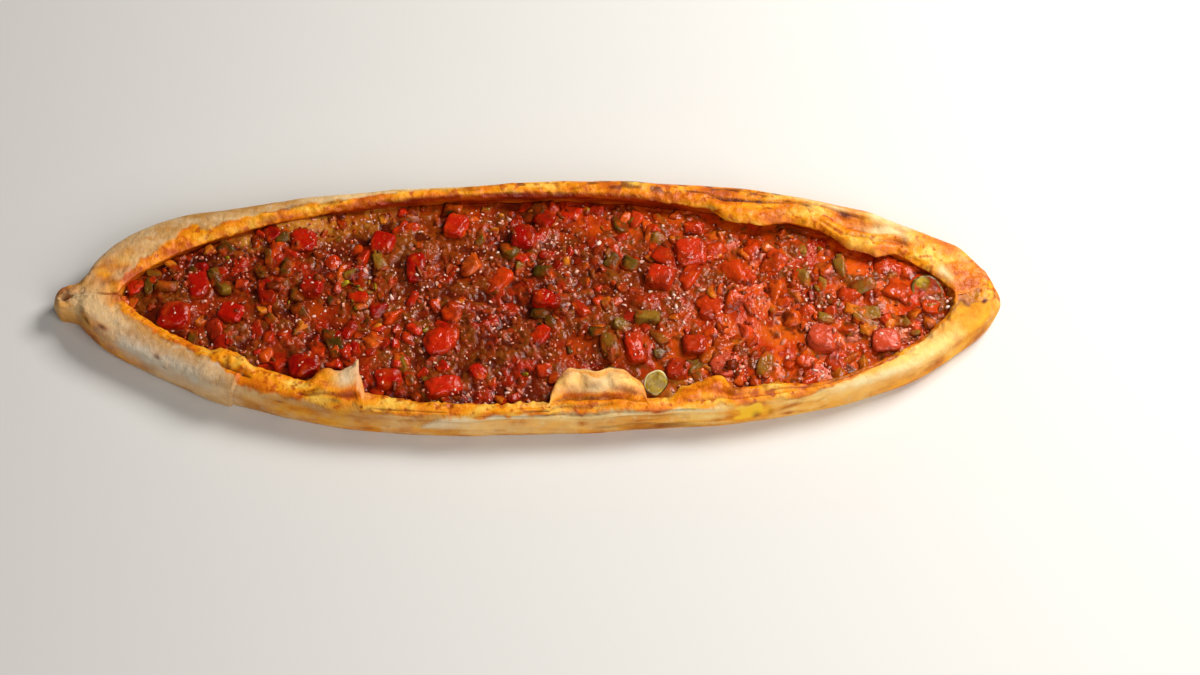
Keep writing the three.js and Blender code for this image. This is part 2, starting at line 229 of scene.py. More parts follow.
# side, x, length before and after, reach over the filling, lift, crease, hold: the share of its
# length over which a fold keeps its whole reach. 0 makes it a flap with a point, 1 a roll.
FOLDS = [
    (FRONT, -69.5, 20, 3, 14, 2.5, 0.0, 0.0),
    (FRONT, 25, 15, 25, 17.0, 0.5, 3.0, 1.0),
    (FRONT, 4, 10, 14, 2, 0.0, 0.5, 0.3),
    (FRONT, 90, 26, 26, 5, 0.0, 1.0, 0.4),
    (FRONT, 72, 10, 11, 7.0, -1.2, -0.5, 0.7),
    (FRONT, 56, 10, 9, 4.0, -1.5, 0.0, 0.5),
    (FRONT, -122, 8, 8, 3, 0.4, 1.2, 0.5),
    (BACK, 90, 12, 18, 5.5, 0.5, 1.0, 0.4),
    (BACK, 142, 16, 12, 6.0, 0.5, 2.5, 0.35),
]


# %% Outline and opening
def through_table(x, table_x, values):
    """A smooth line through a table: between two rows a cubic, whose slope at each row is that
    of the straight line between its neighbours."""
    before, after = np.r_[0, : len(table_x) - 1], np.r_[1 : len(table_x), len(table_x) - 1]
    slope = (values[after] - values[before]) / (table_x[after] - table_x[before])
    i = np.clip(np.searchsorted(table_x, x) - 1, 0, len(table_x) - 2)
    gap = table_x[i + 1] - table_x[i]
    t = (x - table_x[i]) / gap
    bend = t * (1 - t) ** 2 * slope[i] - t * t * (1 - t) * slope[i + 1]
    return mix(values[i], values[i + 1], t * t * (3 - 2 * t)) + bend * gap


def bow(s, power, roundness):
    """Half width of a pointed oval: 1 in the middle and 0 where s reaches 1."""
    return (1 - np.clip(np.abs(s), 0, 1) ** power) ** roundness


def uneven(x, side):
    """Slow unevenness of hand-shaped dough: three sines of different lengths."""
    slow, middle, fast = np.sin(x / 19 + 2 * side), np.sin(x / 8.3 + side), np.sin(x / 4.1 - side)
    return 0.5 * slow + 0.3 * middle + 0.2 * fast


def outer_half_width(x, side):
    """Middle to the outside: the table of half widths with a little unevenness."""
    hull = through_table(x, OUTLINE[:, 0], OUTLINE[:, 1 if side == FRONT else 2])
    return hull + 0.4 * uneven(x, side) * smooth(5, 30, hull)


def opening_half_width(x, side):
    """Middle to the lip of the rim, before the folds."""
    s = x / np.where(x < 0, OPENING_LEFT, OPENING_RIGHT)
    if side == FRONT:
        return FRONT_OPENING * np.where(x < 0, bow(s, 2, 0.78), bow(s, 3.2, 0.66))
    return BACK_OPENING * np.where(x < 0, bow(s, 2, 0.62), bow(s, 2.2, 0.7))


def centre_line(x):
    """The boat bends a little towards the back at both ends."""
    return 2 * smooth(80, 170, np.abs(x)) + 0.5 * smooth(170, 200, x)


# %% One side of the rim
def fold_share(x, at, before, after, hold):
    """0 away from a fold and 1 on it. A flap is a low shelf that ends in a point, a roll is
    round like an ellipse, and the others keep their reach for a while."""
    away = np.abs(x - at) / np.where(x < at, before, after)
    if hold == 0:
        return 0.52 * smooth(1.1, 0.6, away) + 0.48 * np.clip(1 - away / 0.35, 0, 1) ** 1.5
    if hold == 1:
        rounded = np.clip(1 - away ** np.where(x < at, 3.4, 4.5), 0, 1) ** 0.6
        return rounded * (1 + 0.05 * np.sin(x / 3.1 + 2) + 0.02 * np.sin(x / 1.3 + 1))
    return smooth(1.25, hold, away)


def rim_at(x, side):
    """All that a cross-section needs to know about one side of the boat, as arrays over x."""
    opening, outer = opening_half_width(x, side), outer_half_width(x, side)
    tall = RIM_HEIGHT - RIM_DROP * np.abs(x / HALF_LENGTH) ** 3 + 0.6 * uneven(x, 3 * side)
    dimple = bell(x, KNOB_X, 2.2)
    is_open = smooth(0, 10, opening)
    height = tall * mix(0.85, 1, smooth(5, 14, outer))
    crack = 0.3 * bell(x, CRACK_X, 5)
    floor = mix(height * mix(0.985 - crack, 0.6, dimple), BASE_THICKNESS, is_open)
    reach, lift, crease = np.zeros((3, *np.shape(x)))
    for fold_side, at, before, after, fold_reach, fold_lift, fold_crease, hold in FOLDS:
        share = fold_share(x, at, before, after, hold) * (fold_side == side)
        reach, lift = reach + fold_reach * share, lift + fold_lift * share
        crease = crease + fold_crease * share
    wall = np.hypot(opening, SEAM + KNOB_DIMPLE * dimple)
    lip = np.maximum(wall - reach, SEAM)
    shift = side * np.minimum(SEAM_SHIFT * smooth(180, 197, x), 0.5 * outer)
    return dict(outer=outer, height=height, is_open=is_open, floor=floor, reach=reach,
                lift=lift, crease=crease, wall=wall, lip=lip, shift=shift)


# %% [markdown]
# ## A cross-section as a smooth loop
# Cut across the boat, the dough is a loop: flat base, outer wall, rounded crest, lip, inner wall
# and floor, and the same again on the other side. One section could be swept along a path with a
# curve's bevel, but this one changes all the way along, so the loops are worked out and joined
# like the ribs of a hull. Fourteen guide points a side describe a loop. A curve is drawn through
# them whose slope at each point is limited by the shorter neighbour, so that the tight corners at
# the foot don't make it swing out.


# %% Guide points of one side
def half_section(x, side):
    """From the foot of the outer wall round the rim to the floor: arrays of distance from the
    middle and height, one row of fourteen points for each x."""
    r = rim_at(x, side)
    outer, wall, lip, floor, shift = r["outer"], r["wall"], r["lip"], r["floor"], r["shift"]
    foot = outer - np.minimum(3, 0.25 * outer)
    shoulder = outer - np.minimum(1.2, 0.1 * outer)
    lip_height = mix(0.985, 0.86, r["is_open"]) * r["height"] + 0.8 * r["lift"]
    sealed = 0.03 * (1 - r["is_open"])
    under = np.minimum(1.2, 0.2 * wall) * r["is_open"]
    curl = 3 * r["is_open"] * smooth(0, 4, r["reach"] + 1.5)

    def crest(share, height, lifted, creased):
        """A point that share of the way from shoulder to lip. Its height is the sum of shares of
        the rim's height and lift, less one of its crease."""
        rise = height * r["height"] + lifted * r["lift"] - creased * r["crease"]
        return mix(shoulder, lip + shift, share), rise

    points = [
        (foot, 0 * x),
        (outer - 0.08 * np.minimum(8, outer), 0.1 * r["height"]),
        (outer, 0.36 * r["height"]),
        (0.98 * outer, 0.66 * r["height"]),
        crest(0, 0.86, 0, 0),
        crest(0.2, 0.97, 0.2, 0),
        crest(0.42, 1, 0.5, 1),
        crest(0.62, 0.99, 0.8, 0.2),
        crest(0.84, 0.96 + sealed, 1, 0),
        (lip + shift, lip_height),
        (mix(lip, wall, 0.75) + shift, lip_height - curl),
        (wall + under + shift, mix(lip_height, floor, 0.55)),
        (wall + 0.5 * under + shift, mix(lip_height, floor, 0.85)),
        (0.88 * wall + shift, floor),
    ]
    return np.moveaxis(np.array(points), -1, 0)


def guide_loops(x):
    """Both sides joined into closed loops of thirty points, as (y, z) for each x."""
    front, back = half_section(x, FRONT), half_section(x, BACK)
    middle = rim_at(x, BACK)
    base = np.stack([0 * x, 0 * x], axis=-1)[:, None]
    floor = np.stack([middle["shift"], middle["floor"]], axis=-1)[:, None]
    return np.concatenate([base, back, floor, (front * [-1, 1])[:, ::-1]], axis=1)


# %% A smooth curve through the guide points
def curve_through(guides, where):
    """Points of a closed cubic curve at the given places along its guide points. Its slope at a
    guide point is the direction between the two neighbours, times the shorter distance."""
    step = np.roll(guides, -1, axis=1) - guides
    length = np.linalg.norm(step, axis=-1, keepdims=True) + 1e-9
    step_before, length_before = np.roll(step, 1, axis=1), np.roll(length, 1, axis=1)
    slope = (step + step_before) / (length + length_before) * np.minimum(length, length_before)
    i = np.floor(where).astype(int)
    j = (i + 1) % guides.shape[1]
    t = (where - i)[None, :, None]
    ease_in, ease_out = t * (1 - t) ** 2, -t * t * (1 - t)
    along = t * t * (3 - 2 * t)
    ends = mix(guides[:, i], guides[:, j], along)
    return ends + ease_in * slope[:, i] + ease_out * slope[:, j]


# %% Stations along the boat and places around it
STATIONS = 840
SPREAD = [1, 3, 5, 5, 5, 6, 6, 6, 6, 5, 5, 3, 1, 1, 1]  # points between one guide and the next
HALF_LOOP = 15.0  # guide points from the middle of the base to the middle of the floor

u = np.linspace(-1, 1, STATIONS)
station_x = HALF_LENGTH * mix(u, np.sin(u * np.pi / 2), 0.35)  # closer together at the tips
half_places = np.concatenate([k + np.arange(n) / n for k, n in enumerate(SPREAD)])
places = np.concatenate([half_places, [HALF_LOOP], 2 * HALF_LOOP - half_places[:0:-1]])
on_first_half = places <= HALF_LOOP
ring_s = np.where(on_first_half, places, 2 * HALF_LOOP - places)  # 0 base, 5 shoulder, 10 lip
ring_side = np.where(on_first_half, BACK, FRONT)
print("stations:", STATIONS, "points around:", len(places))

# %% [markdown]
# ## Skin of the dough
# Kneaded dough isn't smooth: it has soft lumps, small blisters on the oiled rim, wrinkles where
# it was folded, and a crack where one edge lies over another. Bump in the material would fake
# them, but it fails at the outline and is lost with the material. So these are lifts and grooves
# along the surface's own normals. Each groove is a bell across a line that runs along the rim.


# %% Boat without its skin
def boat_surface(x):
    """The plain boat: one loop of points at every station, shrinking to a point at the tips."""
    rounding = np.where(x < 0, 4.0, 7.0)  # length of the left and of the right tip
    past = np.clip((np.abs(x) - HALF_LENGTH + rounding) / rounding, 0, 1)
    scale = np.sqrt(1 - past**2)[:, None]
    loops = curve_through(guide_loops(x), places)
    y = centre_line(x)[:, None] + loops[..., 0] * scale
    z = mix(TIP_HEIGHT, np.maximum(loops[..., 1], 0), scale)
    return np.stack([np.broadcast_to(x[:, None], y.shape), y, z], axis=-1)


def outward(grid):
    """Unit normals of a grid of rings: the way around crossed with the way along."""
    along = np.gradient(grid, axis=0)
    around = np.roll(grid, -1, axis=1) - np.roll(grid, 1, axis=1)
    normal = np.cross(around, along)
    return normal / (np.linalg.norm(normal, axis=-1, keepdims=True) + 1e-12)


plain_boat = boat_surface(station_x)
X, S, SIDE = np.broadcast_arrays(station_x[:, None], ring_s[None], ring_side[None])
on_front, on_back = SIDE == FRONT, SIDE == BACK
print("plain boat:", plain_boat.shape, "highest:", round(plain_boat[..., 2].max(), 2), "mm")

# %% Grooves and cracks along the rim
# side, x from and to, place around from and to, depth, width around, how much darker it is painted
GROOVES = [
    (BACK, 60, 118, 7.4, 6.6, 0.7, 0.16, 0.9),
    (BACK, 100, 150, 6.5, 5.9, 1.0, 0.16, 0.8),
    (BACK, 84, 112, 5.6, 5.3, 0.4, 0.12, 0.5),
    (BACK, 120, 164, 8.8, 7.9, 1.0, 0.22, 0.5),
    (BACK, 112, 150, 7.5, 7.1, 0.5, 0.14, 0.4),
    (BACK, -70, 20, 6.5, 6.2, 0.3, 0.16, 0.4),
    (BACK, -20, 70, 5.6, 5.2, 0.25, 0.14, 0.5),
    (FRONT, -30, 84, 5.3, 4.8, 0.9, 0.14, 0.5),
    (FRONT, 14, 70, 4.3, 4.0, 0.8, 0.14, 0.5),
    (FRONT, 22, 72, 3.2, 3.0, 0.6, 0.14, 0.6),
    (FRONT, -60, 6, 4.1, 4.4, 0.6, 0.14, 0.4),
    (FRONT, 6, 52, 7.0, 6.6, 1.5, 0.24, 0.8),
    (FRONT, -4, 40, 6.0, 5.7, 1.2, 0.18, 0.7),
    (FRONT, 20, 50, 7.7, 7.5, 0.5, 0.14, 0.15),
    (FRONT, -96, -66, 6.6, 6.3, 0.8, 0.18, 0.8),
    (FRONT, -66, -28, 5.9, 6.3, 0.6, 0.16, 0.5),
    (FRONT, 62, 112, 6.3, 6.9, 0.6, 0.18, 0.6),
    (FRONT, 96, 150, 7.4, 8.3, 0.5, 0.22, 0.5),
    (FRONT, -128, -112, 7.4, 7.0, 0.8, 0.2, 0.8),
]


def groove_depth(side, start, end, s_start, s_end, depth, width, burnt):
    """Depth of one groove everywhere, and how dark it is: a bell across a slightly wavy line,
    faded in and out over the last fifth of its length."""
    along = (X - start) / (end - start)
    line = mix(s_start, s_end, along) + 0.12 * np.sin(X / 4.3 + s_start)
    fade = between(along, 0, 0.2, 0.8, 1) * (SIDE == side)
    line_share = bell(S, line, width) * fade
    return depth * line_share, burnt * line_share


grooves = [groove_depth(*groove) for groove in GROOVES]
groove_total = sum(depth for depth, _ in grooves)
groove_dark = sum(dark for _, dark in grooves)
print("grooves:", len(grooves), "deepest:", round(groove_total.max(), 2), "mm")

# %% Lumps, blisters and wrinkles
is_open = np.minimum(*(rim_at(station_x, side)["is_open"] for side in (FRONT, BACK)))[:, None]
sealed_top = (1 - is_open) * smooth(0.3, 0.8, outward(plain_boat)[..., 2])
on_wall = between(S, 1.2, 2.5, 4.5, 6.5)
on_rim = smooth(4.5, 6.5, S) * np.maximum(smooth(12.5, 10.5, S), sealed_top)
on_lip = between(S, 7.2, 8.6, 10.2, 11.5)
on_roll = bell(X, ROLL_X, 16) * on_front * between(S, 6.6, 7.8, 10.5, 12)
drawn_out, drawn_far = plain_boat * [0.14, 1, 1], plain_boat * [0.07, 1, 1]

kneaded = 0.55 * rough_noise(plain_boat, 17, 1) * (on_wall + on_rim)
blistered = 0.36 * rough_noise(plain_boat, 5.5, 4) + 0.16 * soft_noise(plain_boat, 2.1, 8)
crumbly = 0.32 * soft_noise(plain_boat, 2.4, 33) + 0.2 * soft_noise(plain_boat, 1.3, 35)
very_crumbly = between(X, -64, -54, 4, 12) + bell(X, -119, 8)
crumbly = crumbly * on_lip * (1 + 1.2 * very_crumbly * on_front)
pitted = 0.10 * rough_noise(plain_boat, 2.6, 12, 2) * on_wall
layered = 0.35 * soft_noise(drawn_out, 2.6, 25) * on_rim * smooth(-150, -110, X)
wrinkles = 0.42 * soft_noise(drawn_out, 3.4, 21) * between(X, -60, 10, 70, 110)
wrinkles = wrinkles + 0.3 * soft_noise(drawn_far, 1.6, 23) * between(X, -80, 0, 80, 120)
wrinkles = wrinkles * on_front * between(S, 1.5, 3, 6, 7.5)
pinched = 0.6 * soft_noise(plain_boat * [1, 0.5, 0.5], 3.2, 30) * smooth(-180, -188, X)
rolled = 0.9 * soft_noise(plain_boat, 6.5, 92) + 0.5 * soft_noise(plain_boat, 2.8, 93)
lift = kneaded + blistered * on_rim + crumbly + pitted + layered + wrinkles
lift = lift + rolled * on_roll - groove_total + pinched * (on_wall + on_rim)
print("lumps and wrinkles: %.2f to %.2f mm" % (lift.min(), lift.max()))

# %% Rolled fold, blisters and the laid-over edge
# x, place around, reach along x, reach around, height
BULGES = {
    FRONT: [
        (28, 7.8, 14, 0.75, 1.5), (28, 9.8, 16, 0.7, -2.0), (17, 8.4, 3.5, 0.8, 0.9),
        (27, 8.6, 3.5, 0.7, 1.0), (38, 8.4, 4, 0.7, 0.9), (22, 8.6, 2, 0.5, -0.8),
        (33, 8.7, 2.2, 0.5, -0.8), (10, 6.3, 12, 0.5, 0.8), (-88, 8.3, 3, 0.6, 0.9),
        (-84, 6.6, 5, 0.5, 0.7), (-76, 8.8, 6, 1.0, 0.5), (-116, 8.6, 2.5, 0.8, 1.1),
        (-121, 8.2, 2.5, 0.7, 0.9), (76, 8.2, 5, 0.8, 1.2), (86, 8.6, 5, 0.8, 0.9),
        (99, 8.0, 6, 0.8, 0.8),
    ],
    BACK: [
        (140, 9.0, 13, 0.8, 1.3), (150, 5.8, 8, 0.5, 0.9), (90, 8.8, 14, 0.8, 0.8),
        (-112, 8.2, 4, 0.8, 0.7),
    ],
}


def patches(table):
    """Sum of soft oval patches, each a bell along the boat times a bell around it. A table has
    a list of patches for each side of the boat."""
    total = np.zeros(X.shape)
    for side, rows in table.items():
        for at, place, reach_x, reach_s, strength in rows:
            total += strength * bell(X, at, reach_x) * bell(S, place, reach_s) * (SIDE == side)
    return total


overlap_edge = OVERLAP_X + 0.9 * (S - 4) + 0.12 * (S - 4) ** 2
laid_over = (overlap_edge - X) / OVERLAP_LENGTH
overlap = np.where(laid_over > 0, OVERLAP_STEP * smooth(1, 0, laid_over), 0)
overlap = overlap * on_front * between(S, 0.5, 1.5, 8.2, 9.2)
past_flake = X - FLAKE_X - 6 * (S - 3.6) + 1.5 * soft_noise(plain_boat, 4, 98)
flake = between(past_flake, 0, 0.8, 4, 26) * on_front * between(S, 3.1, 3.7, 4.8, 5.2)
lift = lift + patches(BULGES) + overlap + 0.8 * flake
lift = lift * smooth(0.1, 3, plain_boat[..., 2]) * smooth(0, 4, HALF_LENGTH - np.abs(X))
boat = plain_boat + outward(plain_boat) * lift[..., None]
boat = np.clip(boat, *box_mm("crust"))
print("relief of the skin: %.2f to %.2f mm" % (lift.min(), lift.max()))

# %% [markdown]
# ## Stains, flour, scorch marks and painted light
# The colour of the crust follows mostly how it was made: the oily juice stained the crest and lip,
# flour dusted the outside, and the oven scorched thin edges and blisters. Some of it is painted
# light: highlights along the back of the rim, the roll and the flap painted paler than their
# shade, and painted shade beside the laid-over edge and in the knob's dimple. They could be
# painted by hand, or left to noise alone. Here a table puts each patch in its place and noise only
# frays it, and each is kept as a number per point, which the material mixes by. The edge of the
# stain runs at a place around the rim that changes along the boat.


# %% Where the orange stain begins
def stain_edge(x, side):
    """Place around the rim where the stain starts, going inwards, interpolated along x."""
    if side == FRONT:
        at = [-200, -175, -150, -131, -126, -117, -60, 60, 118, 135, 152, 175, 185, 200]
        edge = [9.8, 8.7, 8.3, 8.0, 6.8, 5.4, 5.2, 5.0, 5.1, 6.8, 8.2, 9.0, 8.5, 7.5]
    else:
        at = [-200, -170, -150, -143, -137, -118, -60, -30, 10, 40, 200]
        edge = [9.6, 8.8, 7.9, 6.6, 7.9, 7.7, 7.1, 6.2, 5.4, 4.6, 4.0]
    return np.interp(x, at, edge)


edge_of_stain = np.where(on_front, stain_edge(X, FRONT), stain_edge(X, BACK))
wander = 0.6 * rough_noise(boat, 8, 40) + 0.45 * soft_noise(boat, 3, 44)
wander = wander + 0.2 * soft_noise(boat, 1.4, 46)
inside_stain = S - edge_of_stain + wander
stain = smooth(-0.2, 0.35, inside_stain)
# The tops of the roll and the flap stay unstained, so that their flour and painted light show pale
roll_top = bell(X, ROLL_X, 17) * on_front * between(S, 7.0, 7.7, 9.8, 10.8)
flap_tip = bell(X, FLAP_TIP_X, 6.5) * on_front * between(S, 6.9, 7.8, 9.8, 10.6)
stain = stain * (1 - 0.9 * roll_top) * (1 - 0.95 * flap_tip) * smooth(-184, -168, X)
stain_rim = bell(inside_stain, 0.1, 0.22) * smooth(0.2, -0.3, soft_noise(boat, 6, 48))
hollow_back = on_back * between(X, -95, -60, 40, 80)
soak_line = S + 0.5 * wander + 1.7 * hollow_back - 1.5 * smooth(-135, -160, X)
soaked = smooth(10.2, 11.4, soak_line) * is_open
print("stained: %.0f%%, soaked: %.0f%% of the points" % (100 * stain.mean(), 100 * soaked.mean()))

# %% Golden patches
# x, place around, reach along x, reach around, strength
GOLDEN = {
    FRONT: [
        (-172, 3.4, 13, 1.6, 1.8), (-168, 9.0, 7, 0.9, 0.9), (-177, 5.8, 4, 0.5, 0.8),
        (-184, 5.2, 3, 0.6, 0.8), (-153, 5.6, 3, 0.5, 0.7), (-187, 3.0, 8, 3.0, 0.5),
        (92, 4.2, 9, 1.4, 3.2), (-105, 4.0, 12, 1.5, 0.4), (-74, 4.4, 18, 1.5, 0.75),
        (-84, 8.5, 8, 1.6, 0.9), (-139, 3.5, 10, 1.5, 0.25), (170, 4.6, 9, 1.2, 0.4),
        (168, 2.6, 26, 1.3, 1.1), (190, 5.0, 12, 5.0, 1.4), (178, 8.5, 10, 1.5, 1.0),
        (-20, 2.0, 60, 0.8, 0.8), (50, 2.0, 40, 0.8, 1.0), (-92, 3.0, 26, 1.3, 0.55),
        (-70, 2.4, 16, 1.0, 0.6), (-98, 4.2, 8, 0.6, 0.8), (-45, 4.3, 12, 0.5, 0.8),
        (20, 3.6, 30, 0.4, 0.7), (-6, 4.2, 14, 0.4, 0.7), (-196, 7.5, 4, 3.0, 0.9),
    ],
    BACK: [
        (-176, 8.0, 10, 2.0, 0.9), (189, 7.0, 13, 5.0, 1.4), (-176, 7.0, 7, 1.2, 0.5),
        (-195, 6.5, 5, 4.0, 1.1),
    ],
}

# %% Scorch marks with painted shade, and flour with painted highlights
# x, place around, reach along x, reach around, strength
# The rows at x -194.5 darken the knob's dimple: painted shade in the hole
SCORCH_AND_SHADE = {
    FRONT: [
        (194, 6.0, 9, 5.0, 0.14), (-41, 8.2, 14, 1.4, 0.14), (-104, 4.0, 12, 1.4, 0.16),
        (-72, 4.4, 18, 1.4, 0.25), (-184, 5.2, 1.5, 0.30, 0.8), (-177, 5.8, 1.8, 0.26, 0.9),
        (-153, 5.6, 1.6, 0.25, 0.8), (-150, 4.6, 1.2, 0.20, 0.5), (192, 7.4, 1.1, 0.40, 1.1),
        (101, 3.4, 1.2, 0.3, 0.4), (-78, 6.0, 2.0, 0.25, 0.7), (-87, 6.9, 4.0, 0.25, 0.7),
        (-101, 4.6, 1.6, 0.2, 0.6), (56, 2.6, 16, 0.35, 0.6), (95, 3.3, 1.6, 0.3, 0.6),
        (28, 8.0, 3.0, 0.3, 0.5), (-194.5, 10.5, 1.8, 1.0, 0.35),
    ],
    BACK: [
        (194, 6.0, 9, 5.0, 0.14), (135, 6.3, 2.2, 0.25, 1.0), (119, 6.8, 3.0, 0.25, 0.9),
        (86, 6.9, 8.0, 0.2, 0.7), (160, 7.6, 2.0, 0.8, 0.7), (-84, 8.0, 4.0, 0.5, 0.7),
        (-100, 7.6, 5.0, 0.5, 0.6), (-194.5, 10.5, 1.8, 1.3, 0.45), (-195, 8.2, 3.0, 1.2, 0.1),
    ],
}
# Flour, and painted light: the back rows from x 126 to 154 are painted highlights along the rim,
# and the front rows at x 29 and -73 paint the roll and the flap paler than their shade
FLOUR_AND_LIGHT = {
    FRONT: [
        (-160, 5.0, 16, 1.6, 1.0), (-126, 7.6, 4, 0.9, 0.8), (-8, 5.1, 16, 0.6, 1.0),
        (50, 5.0, 26, 0.6, 0.8), (70, 5.2, 10, 0.8, 0.7), (142, 5.4, 24, 1.1, 1.0),
        (29, 8.2, 17, 1.6, 0.6), (-73, 8.8, 5, 1.2, 0.8), (-119, 8.4, 3, 0.5, 0.8),
        (-140, 5.2, 14, 1.6, 0.8),
    ],
    BACK: [
        (154, 5.6, 10, 0.7, 1.1), (126, 5.7, 14, 0.4, 0.9), (142, 9.6, 10, 0.6, 0.15),
        (151, 6.9, 10, 0.45, 1.4), (145, 10.4, 9, 0.5, 0.6), (176, 8.8, 4, 0.8, 1.0),
        (184, 6.0, 3, 0.8, 0.6),
    ],
}

# %% Where each of them shows
mottle = rough_noise(boat, 12, 50)
streaks = smooth(0.05, 0.5, rough_noise(boat * [0.07, 1, 1], 2.2, 55, 2)) * on_wall
streaks = streaks * between(X, -110, -40, 100, 150) * on_front
golden = patches(GOLDEN) + 0.3 * smooth(0.1, 0.8, mottle) * smooth(-140, 60, X) + 0.8 * streaks
golden = np.clip(golden * (0.8 + 0.7 * rough_noise(boat, 4, 54)), 0, 2.5)
flour_and_light = np.clip(patches(FLOUR_AND_LIGHT) * (0.9 + 0.8 * rough_noise(boat, 5, 58)) + 0.8 * flake, 0, 1)
# No stain under the painted highlights at the back right
stain = stain * (1 - 0.85 * flour_and_light * on_back * smooth(100, 118, X))
blister_tops = smooth(0.3, 0.7, soft_noise(boat, 3.6, 61)) * on_rim * stain
blister_tops = blister_tops * smooth(-0.1, 0.3, mottle)
flecks = smooth(0.0, 0.35, rough_noise(boat * [0.5, 1, 1], 2.4, 62, 2)) * stain
flecks = flecks * smooth(9, 7.5, S) * between(X, -60, 0, 95, 125) * on_back
toast = on_lip * smooth(0.0, 0.6, soft_noise(boat, 2.6, 64)) * smooth(20, 110, X) * on_front
# A painted shadow along the low side of the laid-over edge's step
step_shadow = bell(X, overlap_edge + 0.5, 0.5) * on_front * between(S, 1.5, 2.5, 8, 8.8)
# The scorch layer also carries painted shade: the step's shadow and the knob's dimple
scorch_and_shade = patches(SCORCH_AND_SHADE) + 0.8 * groove_dark + 0.3 * blister_tops + 0.35 * stain_rim
scorch_and_shade = np.clip(scorch_and_shade + 0.5 * toast + 0.75 * flecks + 0.3 * step_shadow, 0, 1)
for mark, share in dict(golden=golden, flour_and_light=flour_and_light, scorch_and_shade=scorch_and_shade).items():
    print(f"{mark}: {100 * (share > 0.5).mean():.0f}% of the points")

# %% The crust
quads, caps = ring_faces(STATIONS, len(places))
skin = dict(stain=stain, soaked=soaked, golden=golden, flour_and_light=flour_and_light, scorch_and_shade=scorch_and_shade)
crust = make_piece("crust_dough", flatten_rings(boat), quads, caps,
                   **{key: flatten_rings(value) for key, value in skin.items()})
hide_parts("crust")

# %% [markdown]
# ## The bed of mince
# The heap reaches the dough all round and is piled a little higher in the middle. Its surface is
# made of crumbs of minced meat. Thousands of loose crumbs would leave gaps and weigh the file
# down, so the bed is one surface. Domes of two sizes are raised on it, and hollows between them
# are filled to a wavy level by juice. Where juice stands, the bed is smooth and shines.


# %% Where the large dice lie
large_nodes = [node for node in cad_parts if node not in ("crust", "filling")]
large_boxes = np.array([box_mm(node) for node in large_nodes])
large_middle = large_boxes.mean(axis=1)[:, :2]
large_half = 0.5 * np.ptp(large_boxes, axis=1)[:, :2]
is_die = np.array(["slice" not in node for node in large_nodes])
BANK = 1.5  # how high mince is pushed up against them
print("large pieces:", len(large_nodes))


# %% Height of the heap
def heap_height(x, y):
    """The plain heap: an arch across the boat, with slow lumps, which levels out at the ends."""
    side_wall = [np.maximum(rim_at(x, side)["wall"], 1) for side in (FRONT, BACK)]
    across = y - centre_line(x)
    share = np.clip(np.abs(across) / np.where(across < 0, *side_wall), 0, 1)
    ends = smooth(0, 22, np.where(across < 0, *side_wall))
    lumps = 0.8 * np.sin(x / 6.3 + 1.4 * np.sin(y / 9)) * np.cos(y / 7 - 1.2 * np.sin(x / 13))
    return mix(RIM_HEIGHT - 6, FILL_EDGE + FILL_DOME * (1 - share**2), ends) + lumps


def bank_height(x, y):
    """Mince pushed up against the large dice: a bell across the line round each of them."""
    out_x = np.abs(x[..., None] - large_middle[:, 0]) - 0.7 * large_half[:, 0]
    out_y = np.abs(y[..., None] - large_middle[:, 1]) - 0.7 * large_half[:, 1]
    outside = np.hypot(np.maximum(out_x, 0), np.maximum(out_y, 0)).min(axis=-1)
    return BANK * bell(outside, 1.8, 2.6)


def bed_flat(x, y):
    """Places on the bed as points at height 0, for the noise."""
    return np.stack([x, y, 0 * x], axis=-1)


LUMP, GRAIN = 4.6, 2.1  # spacing of the large crumbs and of the small ones


def bed_height(x, y):
    """The heap with its crumbs: height, how deep juice stands, each crumb's own number, and how
    far down between crumbs a point lies. A dome is the root of one minus the square of the way
    to its edge. The pooled height is the higher of crumbs and juice, with a soft corner: half of
    sum plus root of squared difference. Mince is banked up at the back left, and juice stands
    there and in front at the right."""
    flat = bed_flat(x, y)
    bent_x, bent_y = x + 1.6 * soft_noise(flat, 3.6, 80), y + 1.6 * soft_noise(flat, 3.6, 81)
    lump, lump_tone = crumb_cells(bent_x, bent_y, LUMP, 3)
    bent_x, bent_y = x + 0.8 * soft_noise(flat, 1.8, 84), y + 0.8 * soft_noise(flat, 1.8, 85)
    grain, grain_tone = crumb_cells(bent_x, bent_y, GRAIN, 7)
    domes = 1.45 * (7.3 * lump_tone % 1) * np.sqrt(np.clip(1 - (lump / 0.9) ** 2, 0, 1))
    grains = 0.85 * (5.1 * grain_tone % 1) * np.sqrt(np.clip(1 - (grain / 0.85) ** 2, 0, 1))
    plain = heap_height(x, y) + bank_height(x, y) * (0.55 + 0.45 * soft_noise(flat, 5, 83))
    behind = y - centre_line(x) - rim_at(x, BACK)["wall"]
    plain = plain + 3.2 * bell(x, -100, 46) * smooth(-11, -2, behind)
    height = plain - 1.5 + domes + grains
    height = height + 0.7 * rough_noise(flat, 6, 70) + 0.3 * soft_noise(flat, 1.3, 72)
    level = plain - 1.1 + 0.8 * soft_noise(flat, 20, 74)
    level = level + 0.6 * smooth(-20, 120, x) + 0.4 * smooth(20, 45, y)
    level = level + 1.2 * bell(x, 70, 18) * smooth(-30, -40, y)
    level = level + 0.8 * bell(x, -100, 40) * smooth(-8, -2, behind)
    pooled = 0.5 * (height + level + np.sqrt((height - level) ** 2 + 0.12))
    juice = smooth(-0.3, 0.4, level - height)
    tone = 0.4 * lump_tone + 0.25 * grain_tone + 0.35 * (0.5 + 0.7 * rough_noise(flat, 3, 77))
    return pooled, juice, np.clip(tone, 0, 1), smooth(-0.2, -1.1, pooled - plain)


